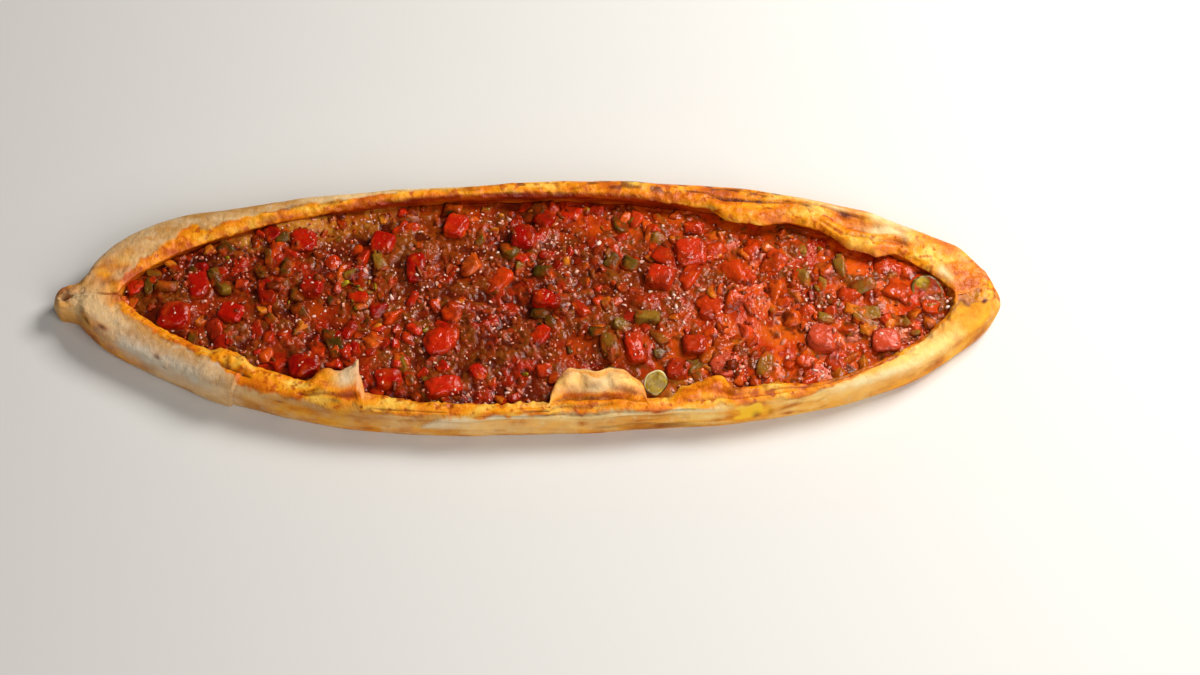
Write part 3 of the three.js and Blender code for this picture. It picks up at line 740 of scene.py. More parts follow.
# %% The bed's mesh
BED_STATIONS, BED_ACROSS = 600, 150
BED_END = 2.0  # how far the bed stops short of the opening's ends
BED_TUCK = 1.2  # how far it reaches into the dough's inner wall
BED_UNDERSIDE, BED_NARROWER = 3.0, 0.86  # height of its underside, and that one's width
BED_TIP_HEIGHT, BED_CLOSING = 8.0, 3.0  # where its ends close, and over what length
bed_x = np.linspace(-OPENING_LEFT + BED_END, OPENING_RIGHT - BED_END, BED_STATIONS)
bed_front = centre_line(bed_x) - rim_at(bed_x, FRONT)["wall"] - BED_TUCK
bed_back = centre_line(bed_x) + rim_at(bed_x, BACK)["wall"] + BED_TUCK
bed_middle = 0.5 * (bed_front + bed_back)
across = np.linspace(0, 1, BED_ACROSS)
top_y = mix(bed_back[:, None], bed_front[:, None], across)
top_x = np.broadcast_to(bed_x[:, None], top_y.shape)
top_z, juice, tone, pit = bed_height(top_x, top_y)
low_y = mix(bed_front[:, None], bed_back[:, None], np.array([0.06, 0.35, 0.65, 0.94]))
low_y = mix(bed_middle[:, None], low_y, BED_NARROWER)
low_x, low_z = np.broadcast_to(bed_x[:, None], low_y.shape), np.full(low_y.shape, BED_UNDERSIDE)
low, top = np.stack([low_x, low_y, low_z], axis=-1), np.stack([top_x, top_y, top_z], axis=-1)
bed_grid = np.concatenate([low, top], axis=1)
print("bed: %.1f to %.1f mm high" % (top_z.min(), top_z.max()))

# %% Looks of the bed, and its closed ends
fatty = bell(top_x, -92, 36) * smooth(0.22, 0.08, across)
fatty = fatty + bell(top_x, 70, 14) * smooth(-34, -40, top_y)
fatty = np.clip(fatty * (1.2 + 1.0 * rough_noise(bed_flat(top_x, top_y), 6, 76)), 0, 1)
mash_looks = {key: np.concatenate([np.zeros(low_y.shape), value], axis=1)
              for key, value in dict(juice=juice, tone=tone, pit=pit, fatty=fatty).items()}
to_end = np.minimum(bed_x - bed_x[0], bed_x[-1] - bed_x)
closing = np.clip(to_end / BED_CLOSING, 0, 1)[:, None, None] ** 0.5
tips = np.stack([bed_x, bed_middle, np.full(bed_x.shape, BED_TIP_HEIGHT)], axis=-1)[:, None]
bed_grid = mix(tips, bed_grid, closing)
bed = make_piece("filling_bed", flatten_rings(bed_grid), *ring_faces(*bed_grid.shape[:2]),
                 **{key: flatten_rings(value) for key, value in mash_looks.items()})
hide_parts("filling")

# %% [markdown]
# ## Small pieces by the hundred
# A small piece is a superellipsoid: a ball whose sines and cosines are raised to a power, so that
# it passes from round to nearly cubic. A particle system could strew copies of one, but they
# would all be alike, and would have to be made real before an export. So one piece is worked out
# once, and then copied, stretched, turned and dented for all of its kind in a single array, which
# keeps the whole kind one mesh.


# %% One small piece
def rounded_block(rows, columns, squareness):
    """Points of a ball of radius 1 that is pushed out towards a cube: each sine and cosine is
    raised to one minus the squareness, and keeps its sign. Poles come first and last."""
    def push(wave):
        """A wave's size raised to one minus the squareness, with the wave's sign."""
        return np.sign(wave) * np.abs(wave) ** (1 - squareness)

    rise = np.linspace(-np.pi / 2, np.pi / 2, rows)[:, None]
    turn = np.arange(columns)[None] / columns * 2 * np.pi + np.pi / columns
    x, y = push(np.cos(rise)) * push(np.cos(turn)), push(np.cos(rise)) * push(np.sin(turn))
    z = np.broadcast_to(push(np.sin(rise)), x.shape)
    block = np.stack([x, y, z], axis=-1)
    block[[0, -1]] = [[0, 0, -1]], [[0, 0, 1]]
    return flatten_rings(block), *ring_faces(rows, columns)


def turned(spin, tilt, lean):
    """Rotation matrices: lean about a level axis at the angle tilt, then spin about Z."""
    axis = np.stack([np.cos(tilt), np.sin(tilt), 0 * tilt], axis=-1)
    c, s = np.cos(lean)[:, None, None], np.sin(lean)[:, None, None]
    cross = np.zeros((len(spin), 3, 3))
    cross[:, 0, 2], cross[:, 1, 2] = axis[:, 1], -axis[:, 0]
    cross[:, 2, 0], cross[:, 2, 1] = -axis[:, 1], axis[:, 0]
    leaning = c * np.eye(3) + s * cross + (1 - c) * axis[:, :, None] * axis[:, None, :]
    spinning = np.zeros((len(spin), 3, 3))
    spinning[:, 0, 0], spinning[:, 0, 1] = np.cos(spin), -np.sin(spin)
    spinning[:, 1, 0], spinning[:, 1, 1] = np.sin(spin), np.cos(spin)
    spinning[:, 2, 2] = 1
    return spinning @ leaning


# %% Places for small pieces
def inside_rim(x, y, margin):
    """True where a point lies between the two lips, at least that far from both."""
    across = y - centre_line(x)
    room = np.where(across < 0, rim_at(x, FRONT)["lip"], rim_at(x, BACK)["lip"])
    return np.abs(across) < room - margin


def spread(cell, seed, margin):
    """One random place in each square of a grid over the opening, without those at the rim."""
    columns, rows = np.arange(-180 // cell, 190 // cell), np.arange(-60 // cell, 60 // cell)
    column, row = (each.ravel().astype(float) for each in np.meshgrid(columns, rows))
    x = (column + scrambled(column, row, seed)) * cell
    y = (row + scrambled(row, column, seed + 3)) * cell
    keep = inside_rim(x, y, margin)
    return x[keep], y[keep]


# %% A whole kind in one mesh
def sauce_cling(points, reach=2.0):
    """1 where a point lies on or under the bed, 0 above a wavy line that high over it."""
    above = points[..., 2] - bed_height(points[..., 0], points[..., 1])[0]
    return smooth(reach, 0.1, above + 0.5 * reach * soft_noise(points, 3, 97))


def dice_top(x, y):
    """Height of the large dice over each place and 0 beside them, as if each were a block with
    rounded edges: the fourth root of one minus the fourth powers of the way to its sides."""
    share_x = np.abs(x[:, None] - large_middle[:, 0]) / large_half[:, 0]
    share_y = np.abs(y[:, None] - large_middle[:, 1]) / large_half[:, 1]
    level = np.clip(1 - share_x**4 - share_y**4, 0, 1) ** 0.25
    low, high = large_boxes[:, 0, 2], large_boxes[:, 1, 2]
    return np.where(level > 0, mix(low, high, 0.5 + 0.46 * level) * is_die, 0).max(axis=1)


FULL_TURN = 6.283
HIGHEST_TOP = 19.4  # no small piece stands higher than this


def make_kind(name, block, x, y, size, seed, shape, sunk, lean, dent, on_dice=False):
    """Copies of a block at the places x, y. size is each piece's size, shape its proportions,
    sunk the share of its height below the bed, lean the most that it leans, and dent how uneven
    its surface is. With on_dice a piece may lie on top of a large die."""
    points, quads, triangles = block
    count, each = len(x), len(points)
    key = np.arange(count, dtype=float)
    varied = 0.7 + 0.6 * np.stack([scrambled(key, k, seed) for k in (1, 2, 3)], -1)
    bodies = points[None] * (np.array(shape) * varied * size[:, None])[:, None] / 2
    own_place = bodies + 40 * scrambled(key, 8.0, seed)[:, None, None]  # its part of the noise
    jitter = 0.3 * (2 * scrambled(key[:, None], np.arange(each)[None], seed) - 1)
    bodies = bodies * (1 + dent * (rough_noise(own_place, 1.7, seed, 2) + jitter))[..., None]
    spin, tilt = (FULL_TURN * scrambled(key, k, seed) for k in (4.0, 5.0))
    bodies = bodies @ np.swapaxes(turned(spin, tilt, lean * scrambled(key, 6.0, seed)), 1, 2)
    tall = bodies[..., 2].max(axis=1)
    resting = np.maximum(bed_height(x, y)[0], dice_top(x, y) * on_dice)
    z = resting + tall * (1 - 2 * sunk)
    bodies += np.stack([x, y, np.minimum(z, HIGHEST_TOP - tall)], axis=-1)[:, None]
    offset = (np.arange(count) * each)[:, None, None]
    return make_piece(name, bodies.reshape(-1, 3), (quads[None] + offset).reshape(-1, 4),
                      (triangles[None] + offset).reshape(-1, 3), cling=sauce_cling(bodies),
                      shade=np.repeat(scrambled(key, 7.0, seed), each))


# %% [markdown]
# ## The largest dice
# Each large die of pepper or tomato is a solid of its own, so its finished piece takes its place
# from that solid's box. Cooking rounds the edges of a die and lets its faces sink a little. A
# bevelled cube would look cut by a machine, so it is the same rounded block as the small pieces,
# with far more points and a rougher skin.

# %% Sizes of the large dice
DICE = {
    "red_pepper": [(14, 12, 9), (10, 13, 9), (11, 9, 9), (7, 13, 9), (12, 11, 9), (10, 10, 9),
                   (14, 11, 9), (11, 11, 10), (12, 10, 9), (9, 14, 9), (10, 12, 9), (16, 10, 9),
                   (11, 11, 10), (12, 9, 9), (8, 14, 10), (12, 11, 10), (14, 14, 10),
                   (11, 10, 10), (10, 10, 9)],
    "tomato": [(14, 12, 9), (13, 13, 10), (12, 11, 9)],
    "green_pepper": [(8, 13, 9), (7, 13, 8)],
}
SQUARENESS = {"red_pepper": 0.48, "tomato": 0.4, "green_pepper": 0.4}
DIE_ROWS, DIE_COLUMNS = 32, 44
TURN, TURN_STEP = 0.3, 2.4  # the most that a die is turned, and the step from die to die
TILT, TILT_STEP = 0.14, 3.7


def about_x(angle):
    """Matrix of a turn about X."""
    c, s = np.cos(angle), np.sin(angle)
    return np.array([[1, 0, 0], [0, c, -s], [0, s, c]])


def about_z(angle):
    """Matrix of a turn about Z."""
    c, s = np.cos(angle), np.sin(angle)
    return np.array([[c, -s, 0], [s, c, 0], [0, 0, 1]])


# %% One large die
def large_die(name, number, size, squareness):
    """A finely divided block times one plus noise, which sinks its faces and roughens its skin.
    It is turned as its solid is: turn and tilt are sines of its number."""
    points, quads, triangles = rounded_block(DIE_ROWS, DIE_COLUMNS, squareness)
    low, high = box_mm(name)
    turn, tilt = TURN * np.sin(TURN_STEP * number), TILT * np.sin(TILT_STEP * number)
    body = points * (1 + 0.2 * rough_noise(points, 0.9, number)[:, None])
    body = body * (1 + 0.05 * soft_noise(points, 0.25, number + 30)[:, None])
    body = body * np.array(size) / 2
    body = body @ (about_z(turn) @ about_x(tilt)).T + 0.5 * (low + high)
    body = np.clip(body, low, high)
    shade = np.full(len(points), float(scrambled(float(number), 3.0, 2.0)))
    piece = make_piece(f"{name}_skin", body, quads, triangles, shade=shade,
                       cling=sauce_cling(body, reach=3.4))
    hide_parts(name)
    return piece


# %% Cut the large dice
large = {kind: [] for kind in DICE}
for kind, sizes in DICE.items():
    for k, size in enumerate(sizes, 1):
        number = sum(len(cut) for cut in large.values())
        large[kind].append(large_die(f"{kind}_{k:02d}", number, size, SQUARENESS[kind]))

# %% [markdown]
# ## Round slices of green pepper
# A thin pepper cut across gives a round slice: a dark skin round the outside and paler flesh
# within. A short cylinder would have a hard edge and flat faces, so it is a disc whose rounded
# profile is carried once round its axis.


# %% One slice
SLICE_ROWS, SLICE_COLUMNS = 28, 72
HALF_THICKNESS = 1.2
SLICE_TURN = 0.3


def pepper_slice(name, lean, bare, bare_reach, narrow, highlight_on_rind):
    """A disc: a rounded profile from the axis over the rim and back, turned through a full circle,
    then leant as its solid is. rind is 1 on the skin and falls to 0 inwards, and sauced is 1 on
    the face apart from a bare patch at the place given, in radii. narrow is the share taken off
    across the slice, and highlight_on_rind how strong the painted highlight on its upper edge is."""
    low, high = box_mm(name)
    radius = 0.5 * (high[0] - low[0]) - 0.05
    rise = np.linspace(-np.pi / 2, np.pi / 2, SLICE_ROWS)[:, None]
    turn = np.linspace(0, 2 * np.pi, SLICE_COLUMNS, endpoint=False)[None]
    uneven_edge = 1 - 0.05 * np.sin(2 * turn + 1) - 0.03 * np.sin(5 * turn)
    reach = np.abs(np.cos(rise)) ** 0.25 * radius * uneven_edge
    reach = reach * (1 - narrow * np.sin(turn - 0.5) ** 2)
    z = HALF_THICKNESS * np.sign(np.sin(rise)) * np.abs(np.sin(rise)) ** 0.6 + 0 * turn
    z = z * (1 - 0.45 * bell(reach, 0.5 * radius, 0.3 * radius))
    z = z + 0.4 * np.sin(turn) * reach / radius
    disc = np.stack([reach * np.cos(turn), reach * np.sin(turn), z], axis=-1)
    disc[..., 2] += 0.25 * soft_noise(disc, 2.2, 95) * smooth(0, 1.5, radius - reach)
    rind = smooth(0.5, 0.68, np.abs(np.cos(rise))) * np.ones_like(turn)
    # A painted highlight along the upper edge of the rind
    bleached = highlight_on_rind * rind * smooth(-0.3, 0.5, np.cos(turn - 1.7))
    beside = np.hypot(disc[..., 0] - bare[0] * radius, disc[..., 1] - bare[1] * radius)
    edge = beside / radius - bare_reach + 0.2 * soft_noise(disc, 2, 96)
    sauced = smooth(0, 0.25, edge) * (1 - rind)
    disc = disc @ about_x(lean).T @ about_z(SLICE_TURN).T + 0.5 * (low + high)
    disc = np.clip(disc, low, high)
    piece = make_piece(f"{name}_skin", flatten_rings(disc), *ring_faces(*disc.shape[:2]),
                       rind=flatten_rings(rind), sauced=flatten_rings(sauced),
                       bleached=flatten_rings(bleached))
    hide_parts(name)
    return piece


# %% Cut the slices
slices = [
    pepper_slice("pepper_slice_01", lean=0.5, bare=(0.1, -0.2), bare_reach=1.0, narrow=0.18,
                 highlight_on_rind=1.0),
    pepper_slice("pepper_slice_02", lean=0.25, bare=(-0.1, 0.5), bare_reach=0.35, narrow=0.0,
                 highlight_on_rind=0.0),
]

# %% [markdown]
# ## Everything small
# Now the kinds are strewn over the bed: crumbs of mince everywhere, then small dice of red pepper,
# tomato, green pepper and onion, flecks of herb, and beads of fat, whose pale colour is painted
# glints.
# Dice keep clear of the large ones, as pieces that lie side by side do, and they come in drifts,
# since a cook's hand never spreads a filling evenly.


# %% Keep clear of the large dice
def apart(x, y, distance):
    """True where a place is further than that from the middle of every large piece."""
    away = np.hypot(x[:, None] - large_middle[:, 0], y[:, None] - large_middle[:, 1])
    return away.min(axis=1) > distance


def drift(x, y, size, seed):
    """0 to 1: how thickly a kind lies at a place, in soft patches of that size."""
    return 0.5 + 0.5 * rough_noise(bed_flat(x, y), size, seed, 2)


def strew(cell, seed, margin, clear, share, patch):
    """Places for one kind: a spread, thinned out near large pieces and between its drifts. cell
    is the spacing, margin the distance kept from the rim and clear that from large pieces, share
    is how many stay, and patch the size of a drift."""
    x, y = spread(cell, seed, margin)
    odds = share * smooth(0.25, 0.75, drift(x, y, patch, seed)) * 1.6
    keep = apart(x, y, clear) & (scrambled(x, y, seed) < odds)
    return x[keep], y[keep]


# %% Crumbs of mince
x, y = strew(2.4, seed=11, margin=0.3, clear=2.0, share=0.14, patch=12)
size = 1.2 + 2.6 * scrambled(x, 1.0) ** 2.5
mince = make_kind("mince_crumbs", rounded_block(7, 8, 0.3), x, y, size, seed=1,
                  shape=(1.4, 1, 0.8), sunk=0.64, lean=3.1, dent=1.1, on_dice=True)

# %% Small dice of red pepper
x, y = strew(7.4, seed=23, margin=2.4, clear=7.0, share=0.34, patch=26)
size = 3.4 + 4.6 * scrambled(x, 2.0) ** 1.4
red_bits = make_kind("red_pepper_bits", rounded_block(12, 14, 0.5), x, y, size, seed=2,
                     shape=(1.1, 1, 0.7), sunk=0.64, lean=0.8, dent=0.3)

# %% Bits of tomato, more of them at the right
MORE_TOMATO_FROM = 60.0
x, y = strew(8.6, seed=31, margin=2.8, clear=7.4, share=0.36, patch=30)
right_x, right_y = strew(8, seed=57, margin=2.8, clear=7.0, share=0.26, patch=24)
more = right_x > MORE_TOMATO_FROM
x, y = np.append(x, right_x[more]), np.append(y, right_y[more])
size = 4.5 + 5.0 * scrambled(x, 3.0) ** 1.3
tomato_bits = make_kind("tomato_bits", rounded_block(13, 16, 0.35), x, y, size, seed=3,
                        shape=(1.3, 1, 0.6), sunk=0.66, lean=0.6, dent=0.3)

# %% Green pepper
x, y = strew(10.5, seed=41, margin=2.4, clear=6.6, share=0.5, patch=30)
size = 3.2 + 5.0 * scrambled(x, 4.0)
green_bits = make_kind("green_pepper_bits", rounded_block(11, 12, 0.55), x, y, size, seed=4,
                       shape=(1.3, 0.8, 0.6), sunk=0.6, lean=0.6, dent=0.45)

# %% Onion, in larger bits towards the right end
x, y = strew(10, seed=53, margin=1.6, clear=6.4, share=0.34, patch=24)
size = 2.4 + 3.2 * scrambled(x, 5.0) ** 1.4 + 3 * smooth(60, 110, x)
onion_bits = make_kind("onion_bits", rounded_block(9, 10, 0.4), x, y, size, seed=5,
                       shape=(1.4, 0.9, 0.6), sunk=0.62, lean=0.8, dent=0.5)

# %% Herbs, here and there and in one cluster
HERB_CLUSTER = np.array([(-72, 6), (-69, 1), (-75, 3), (-66, 4), (-71, -3), (-77, 8), (-67, 9),
                         (-70, 5), (-73, -1), (-64, 7)], float)
x, y = strew(13, seed=61, margin=2.2, clear=4.5, share=0.3, patch=22)
x, y = np.append(x, HERB_CLUSTER[:, 0]), np.append(y, HERB_CLUSTER[:, 1])
size = 1.6 + 2.0 * scrambled(x, 6.0)
herbs = make_kind("herb_flecks", rounded_block(6, 8, 0.3), x, y, size, seed=6,
                  shape=(1.5, 0.7, 0.35), sunk=0.2, lean=1.2, dent=0.3)

# %% Beads of fat, whose pale colour is painted glints
x, y = strew(2.3, seed=71, margin=0.8, clear=0, share=0.5, patch=10)
size = 0.65 + 0.9 * scrambled(x, 7.0) ** 2 + (0.9 + smooth(60, 130, x)) * scrambled(x, 8.0) ** 10
beads = make_kind("fat_glint_beads", rounded_block(5, 6, 0.0), x, y, size, seed=7,
                  shape=(1.5, 0.9, 0.7), sunk=0.52, lean=1.2, dent=0.7, on_dice=True)

# %% [markdown]
# ## Materials
# All colours come from nodes: noise on Object coordinates breaks up each colour, and the numbers
# kept in the meshes say where stain, flour and juice are. Each material could be put together in
# the shader editor, node by node. A few short methods do the same in code, so that a recipe reads
# like a list of layers of paint.


# %% Paint
def paint(red, green, blue):
    """A colour from 0 to 255 a channel as the linear values that shaders work in."""
    value = np.array([red, green, blue]) / 255
    linear = np.where(value <= 0.04045, value / 12.92, ((value + 0.055) / 1.055) ** 2.4)
    return (*linear.tolist(), 1.0)


# %% Nodes for patterns
class Palette:
    """The nodes of one material, with short names for those that this lesson uses. x is the
    place along the boat in metres."""

    def __init__(self, name):
        self.material = bpy.data.materials.new(name)
        self.material.use_nodes = True
        self.tree = self.material.node_tree
        self.tree.nodes.clear()
        self.place = self.tree.nodes.new("ShaderNodeTexCoord").outputs["Object"]
        split = self.tree.nodes.new("ShaderNodeSeparateXYZ")
        self.tree.links.new(self.place, split.inputs[0])
        self.x = split.outputs["X"]

    def plug(self, value, socket):
        """Sets a socket to a value, or links it when the value is another node's output."""
        if isinstance(value, bpy.types.NodeSocket):
            self.tree.links.new(value, socket)
        else:
            socket.default_value = value

    def kept(self, attribute):
        """A number that is kept in the mesh."""
        node = self.tree.nodes.new("ShaderNodeAttribute")
        node.attribute_name = attribute
        return node.outputs["Fac"]

    def noise(self, size_mm, detail, seed, along=1.0):
        """Cloudy noise with patches of about that size, drawn out along the boat."""
        node = self.tree.nodes.new("ShaderNodeTexNoise")
        node.noise_dimensions = "4D"
        drawn = self.tree.nodes.new("ShaderNodeVectorMath")
        drawn.operation = "MULTIPLY"
        drawn.inputs[1].default_value = (1 / along, 1, 1)
        self.plug(self.place, drawn.inputs[0])
        self.plug(drawn.outputs[0], node.inputs["Vector"])
        node.inputs["W"].default_value = seed
        node.inputs["Scale"].default_value = 1000 / (2 * size_mm)
        node.inputs["Detail"].default_value = detail
        return node.outputs["Fac"]

    def ramp(self, value, low, high, to_low=0.0, to_high=1.0):
        """Maps low..high of a value to to_low..to_high, with soft ends."""
        node = self.tree.nodes.new("ShaderNodeMapRange")
        node.interpolation_type = "SMOOTHSTEP"
        limits = {"From Min": low, "From Max": high, "To Min": to_low, "To Max": to_high}
        for socket, limit in limits.items():
            node.inputs[socket].default_value = limit
        self.plug(value, node.inputs["Value"])
        return node.outputs[0]

    def clouds(self, size_mm, detail, seed, low, high, to_low=0.0, to_high=1.0, along=1.0):
        """Noise whose values from low to high are stretched to to_low..to_high, so that it has
        clear patches."""
        return self.ramp(self.noise(size_mm, detail, seed, along), low, high, to_low, to_high)

    def math(self, operation, a, b):
        """One sum, product or comparison of two values."""
        node = self.tree.nodes.new("ShaderNodeMath")
        node.operation = operation
        self.plug(a, node.inputs[0])
        self.plug(b, node.inputs[1])
        return node.outputs[0]

    def shades(self, value, colours):
        """Evenly spaced colours, passed through as the value goes from 0 to 1."""
        node = self.tree.nodes.new("ShaderNodeValToRGB")
        for k in range(len(colours) - 2):
            node.color_ramp.elements.new((k + 1) / (len(colours) - 1))
        for element, colour in zip(node.color_ramp.elements, colours):
            element.color = paint(*colour)
        self.plug(value, node.inputs[0])
        return node.outputs[0]

    def blend(self, factor, a, b):
        """Colour a where the factor is 0, colour b where it is 1."""
        node = self.tree.nodes.new("ShaderNodeMix")
        node.data_type = "RGBA"
        self.plug(factor, node.inputs[0])
        self.plug(a, node.inputs[6])
        self.plug(b, node.inputs[7])
        return node.outputs[2]


# %% A material under construction
class Recipe(Palette):
    """Patterns that end in one shader. Its steady settings are given at the start, and what
    varies over the surface is plugged in after them."""

    def __init__(self, name, **settings):
        super().__init__(name)
        self.shader = self.tree.nodes.new("ShaderNodeBsdfPrincipled")
        output = self.tree.nodes.new("ShaderNodeOutputMaterial")
        self.tree.links.new(self.shader.outputs[0], output.inputs[0])
        for socket, value in settings.items():
            self.shader.inputs[socket.replace("_", " ")].default_value = value

    def varies(self, socket, value):
        """Lets one of the shader's sockets follow a pattern."""
        self.plug(value, self.shader.inputs[socket])

    def bump(self, height, distance_mm):
        """Fine relief in the shading, as deep as the distance where the height is 1."""
        node = self.tree.nodes.new("ShaderNodeBump")
        node.inputs["Distance"].default_value = distance_mm * MM
        self.plug(height, node.inputs["Height"])
        self.varies("Normal", node.outputs[0])

    def finish(self, *pieces):
        """Gives the material to the pieces."""
        for piece in pieces:
            piece.data.materials.clear()
            piece.data.materials.append(self.material)
        print("material:", self.material.name, "on", len(pieces), "pieces")


# %% [markdown]
# ## Baked dough
# Baked dough is dull and pale under its flour, golden where it browned, and glossy orange where
# oil and juice soaked in. The left end is floury and greyer, and the right end yellower, and the
# dough is painted lighter towards the right, partly as painted light. One colour with noise over
# it would look like plastic, so the layers go on in the order of the baking: dough, browning,
# flour, gold, stain, soaked edge and scorch marks. The flour layer also carries painted
# highlights, the brightest gold painted light, and the scorch layer painted shade.

# %% Dough, browning and flour
dough = Recipe("baked_dough", Subsurface_Weight=0.1, Subsurface_Scale=0.002,
               Subsurface_Radius=(1.0, 0.6, 0.3), Specular_IOR_Level=0.3)
# The dough turns yellower towards the right, and lighter there too, partly as painted light from
# the lamps' side
lighter_rightwards = dough.ramp(dough.x, -0.15, 0.12)
pale = dough.blend(lighter_rightwards, paint(231, 191, 136), paint(255, 209, 114))
toasted = dough.blend(lighter_rightwards, paint(198, 140, 66), paint(248, 176, 64))
colour = dough.blend(dough.clouds(6, 5, 1, 0.42, 0.62, along=2.5), pale, toasted)
colour = dough.blend(dough.clouds(1.8, 4, 2, 0.55, 0.72, 0, 0.6, along=2), colour,
                     paint(200, 128, 50))
flour_light_colour = dough.blend(lighter_rightwards, paint(220, 202, 176), paint(255, 230, 170))
colour = dough.blend(dough.clouds(1.2, 4, 4, 0.5, 0.72, 0, 0.35), colour, flour_light_colour)
gold = dough.shades(dough.clouds(3.5, 4, 3, 0.3, 0.7, along=2),
                    [(184, 92, 8), (232, 144, 14), (252, 178, 34)])
colour = dough.blend(dough.kept("golden"), colour, gold)
# Where golden passes 1.5 a brighter yellow goes on: the crust's gold, partly painted light that
# makes up for the shade on a wall facing away from the lamps, as at x 92 in front
colour = dough.blend(dough.ramp(dough.kept("golden"), 1.5, 2.2), colour, paint(255, 196, 34))
# Flour, with the painted highlights and paler folds kept in the same number
colour = dough.blend(dough.kept("flour_and_light"), colour, flour_light_colour)

# %% Stain, soaked edge, scorch marks and painted shade
oily = dough.shades(dough.clouds(4, 5, 5, 0.28, 0.72, along=2),
                    [(188, 78, 3), (234, 126, 6), (252, 160, 18), (255, 204, 84)])
oily = dough.blend(dough.clouds(1.6, 4, 6, 0.52, 0.66, 0, 0.8), oily, paint(186, 72, 3))
colour = dough.blend(dough.kept("stain"), colour, oily)
soak = dough.shades(dough.clouds(3, 3, 7, 0.3, 0.7, along=3),
                    [(120, 26, 1), (170, 50, 2), (206, 92, 8)])
colour = dough.blend(dough.kept("soaked"), colour, soak)
# Scorch marks, and painted shade where the same number darkens the dimple and the step
dough.varies("Base Color", dough.blend(dough.kept("scorch_and_shade"), colour, paint(92, 30, 5)))
wetness = dough.math("MULTIPLY", dough.kept("stain"), 0.7)
wetness = dough.math("MAXIMUM", wetness, dough.kept("soaked"))
dough.varies("Roughness", dough.ramp(wetness, 0, 1, 0.68, 0.28))
fine_grain = dough.math("MULTIPLY", dough.noise(0.35, 2, 9), 0.5)
dough.bump(dough.math("ADD", dough.noise(1.1, 4, 8), fine_grain), 0.5)
dough.finish(crust)

# %% [markdown]
# ## Wet food
# Cooked pepper, tomato, onion and meat are darker than raw ones, sauce clings to them low down,
# and the light shows on them as many small glints. A coat of clear varnish would give one large
# highlight, so the gloss itself varies and fine bumps break it up, and light flecks add painted
# glints. All kinds were cooked in one pan, so they share one recipe and differ in their shades.


# %% Wet food
SAUCE = [(82, 20, 1), (128, 34, 2), (166, 46, 3), (202, 74, 7)]
FOOD_GRAIN = 0.9  # size of the fine bumps in millimetres


def wet_food(name, shades, fleck, *pieces, shine=(0.06, 0.22), sauce=0.6, dots=0.5, gloss=0.2,
             warm=0.0):
    """Cooked and wet: each piece has its own colour along the shades. Sauce clings to it low down
    and in patches, flecks dot it, warm is how far it takes the flecks' colour towards the right
    end, and shine is the range of its roughness. The light flecks on pepper, tomato and fat are
    painted glints."""
    food = Recipe(name, Subsurface_Weight=0.1, Subsurface_Scale=0.0015,
                  Subsurface_Radius=(1.0, 0.2, 0.05), Specular_IOR_Level=gloss)
    colour = food.shades(food.kept("shade"), shades)
    colour = food.blend(food.clouds(2.2, 3, 1, 0.35, 0.7, 0, 0.5), colour, paint(*shades[0]))
    # Flecks: light ones, as on pepper, tomato and fat, are painted glints
    colour = food.blend(food.clouds(0.8, 3, 4, 0.6, 0.74, 0, dots), colour, paint(*fleck))
    colour = food.blend(food.ramp(food.x, 0, 0.13, 0, warm), colour, paint(*fleck))
    if sauce > 0:
        cling = food.shades(food.clouds(2.4, 4, 2, 0.3, 0.7), SAUCE)
        patchy = food.clouds(3.2, 4, 3, 0.46, 0.6, 0, sauce)
        colour = food.blend(food.math("MAXIMUM", food.kept("cling"), patchy), colour, cling)
    food.varies("Base Color", colour)
    food.varies("Roughness", food.clouds(1.6, 2, 6, 0.4, 0.6, *shine))
    food.bump(food.noise(FOOD_GRAIN, 3, 5), 0.6 * FOOD_GRAIN)
    food.finish(*pieces)


# %% Meat, peppers and tomato
wet_food("minced_meat",
         [(96, 32, 4), (126, 45, 6), (150, 58, 12), (134, 72, 14), (170, 50, 6), (184, 86, 36)],
         (84, 22, 3), mince, sauce=0.5)
wet_food("red_pepper",
         [(146, 7, 0), (170, 12, 0), (192, 22, 1), (210, 40, 7), (222, 66, 20)],
         (228, 88, 30), red_bits, *large["red_pepper"], shine=(0.06, 0.24), dots=0.45, gloss=0.3,
         warm=0.4, sauce=0.65)
wet_food("tomato", [(176, 18, 1), (198, 38, 2), (212, 66, 6), (222, 104, 20)],
         (230, 112, 30), tomato_bits, shine=(0.05, 0.2), gloss=0.3, warm=0.2)
wet_food("pale_tomato", [(206, 70, 38), (220, 92, 56), (228, 112, 74)],
         (244, 166, 132), *large["tomato"], shine=(0.08, 0.26), gloss=0.3, sauce=0.3, dots=0.7)
wet_food("green_pepper", [(44, 34, 5), (92, 64, 12), (128, 82, 18), (144, 106, 28)],
         (176, 126, 44), green_bits, *large["green_pepper"], warm=0.5)

# %% Onion, herbs, and fat painted pale as glints
wet_food("onion", [(190, 84, 12), (216, 118, 20), (232, 150, 36)], (240, 196, 110), onion_bits)
wet_food("herbs", [(60, 60, 10), (150, 124, 14), (190, 164, 30)], (206, 186, 60), herbs,
         sauce=0.1)
# The fat's pale shades and white flecks are painted glints
wet_food("fat", [(190, 80, 50), (214, 120, 88), (236, 170, 140), (255, 224, 208)],
         (255, 242, 234), beads, shine=(0.06, 0.18), sauce=0, gloss=0.4)

# %% [markdown]
# ## The bed's finish
# The bed is meat, juice and fat in one surface, so its paint is mixed by the numbers that say
# which crumb a point belongs to, where juice stands, how deep it lies between crumbs and where fat
# has set. The deep places between crumbs are painted darker as shade. Noise alone would put the
# colours anywhere, and the crumbs would seem printed on.

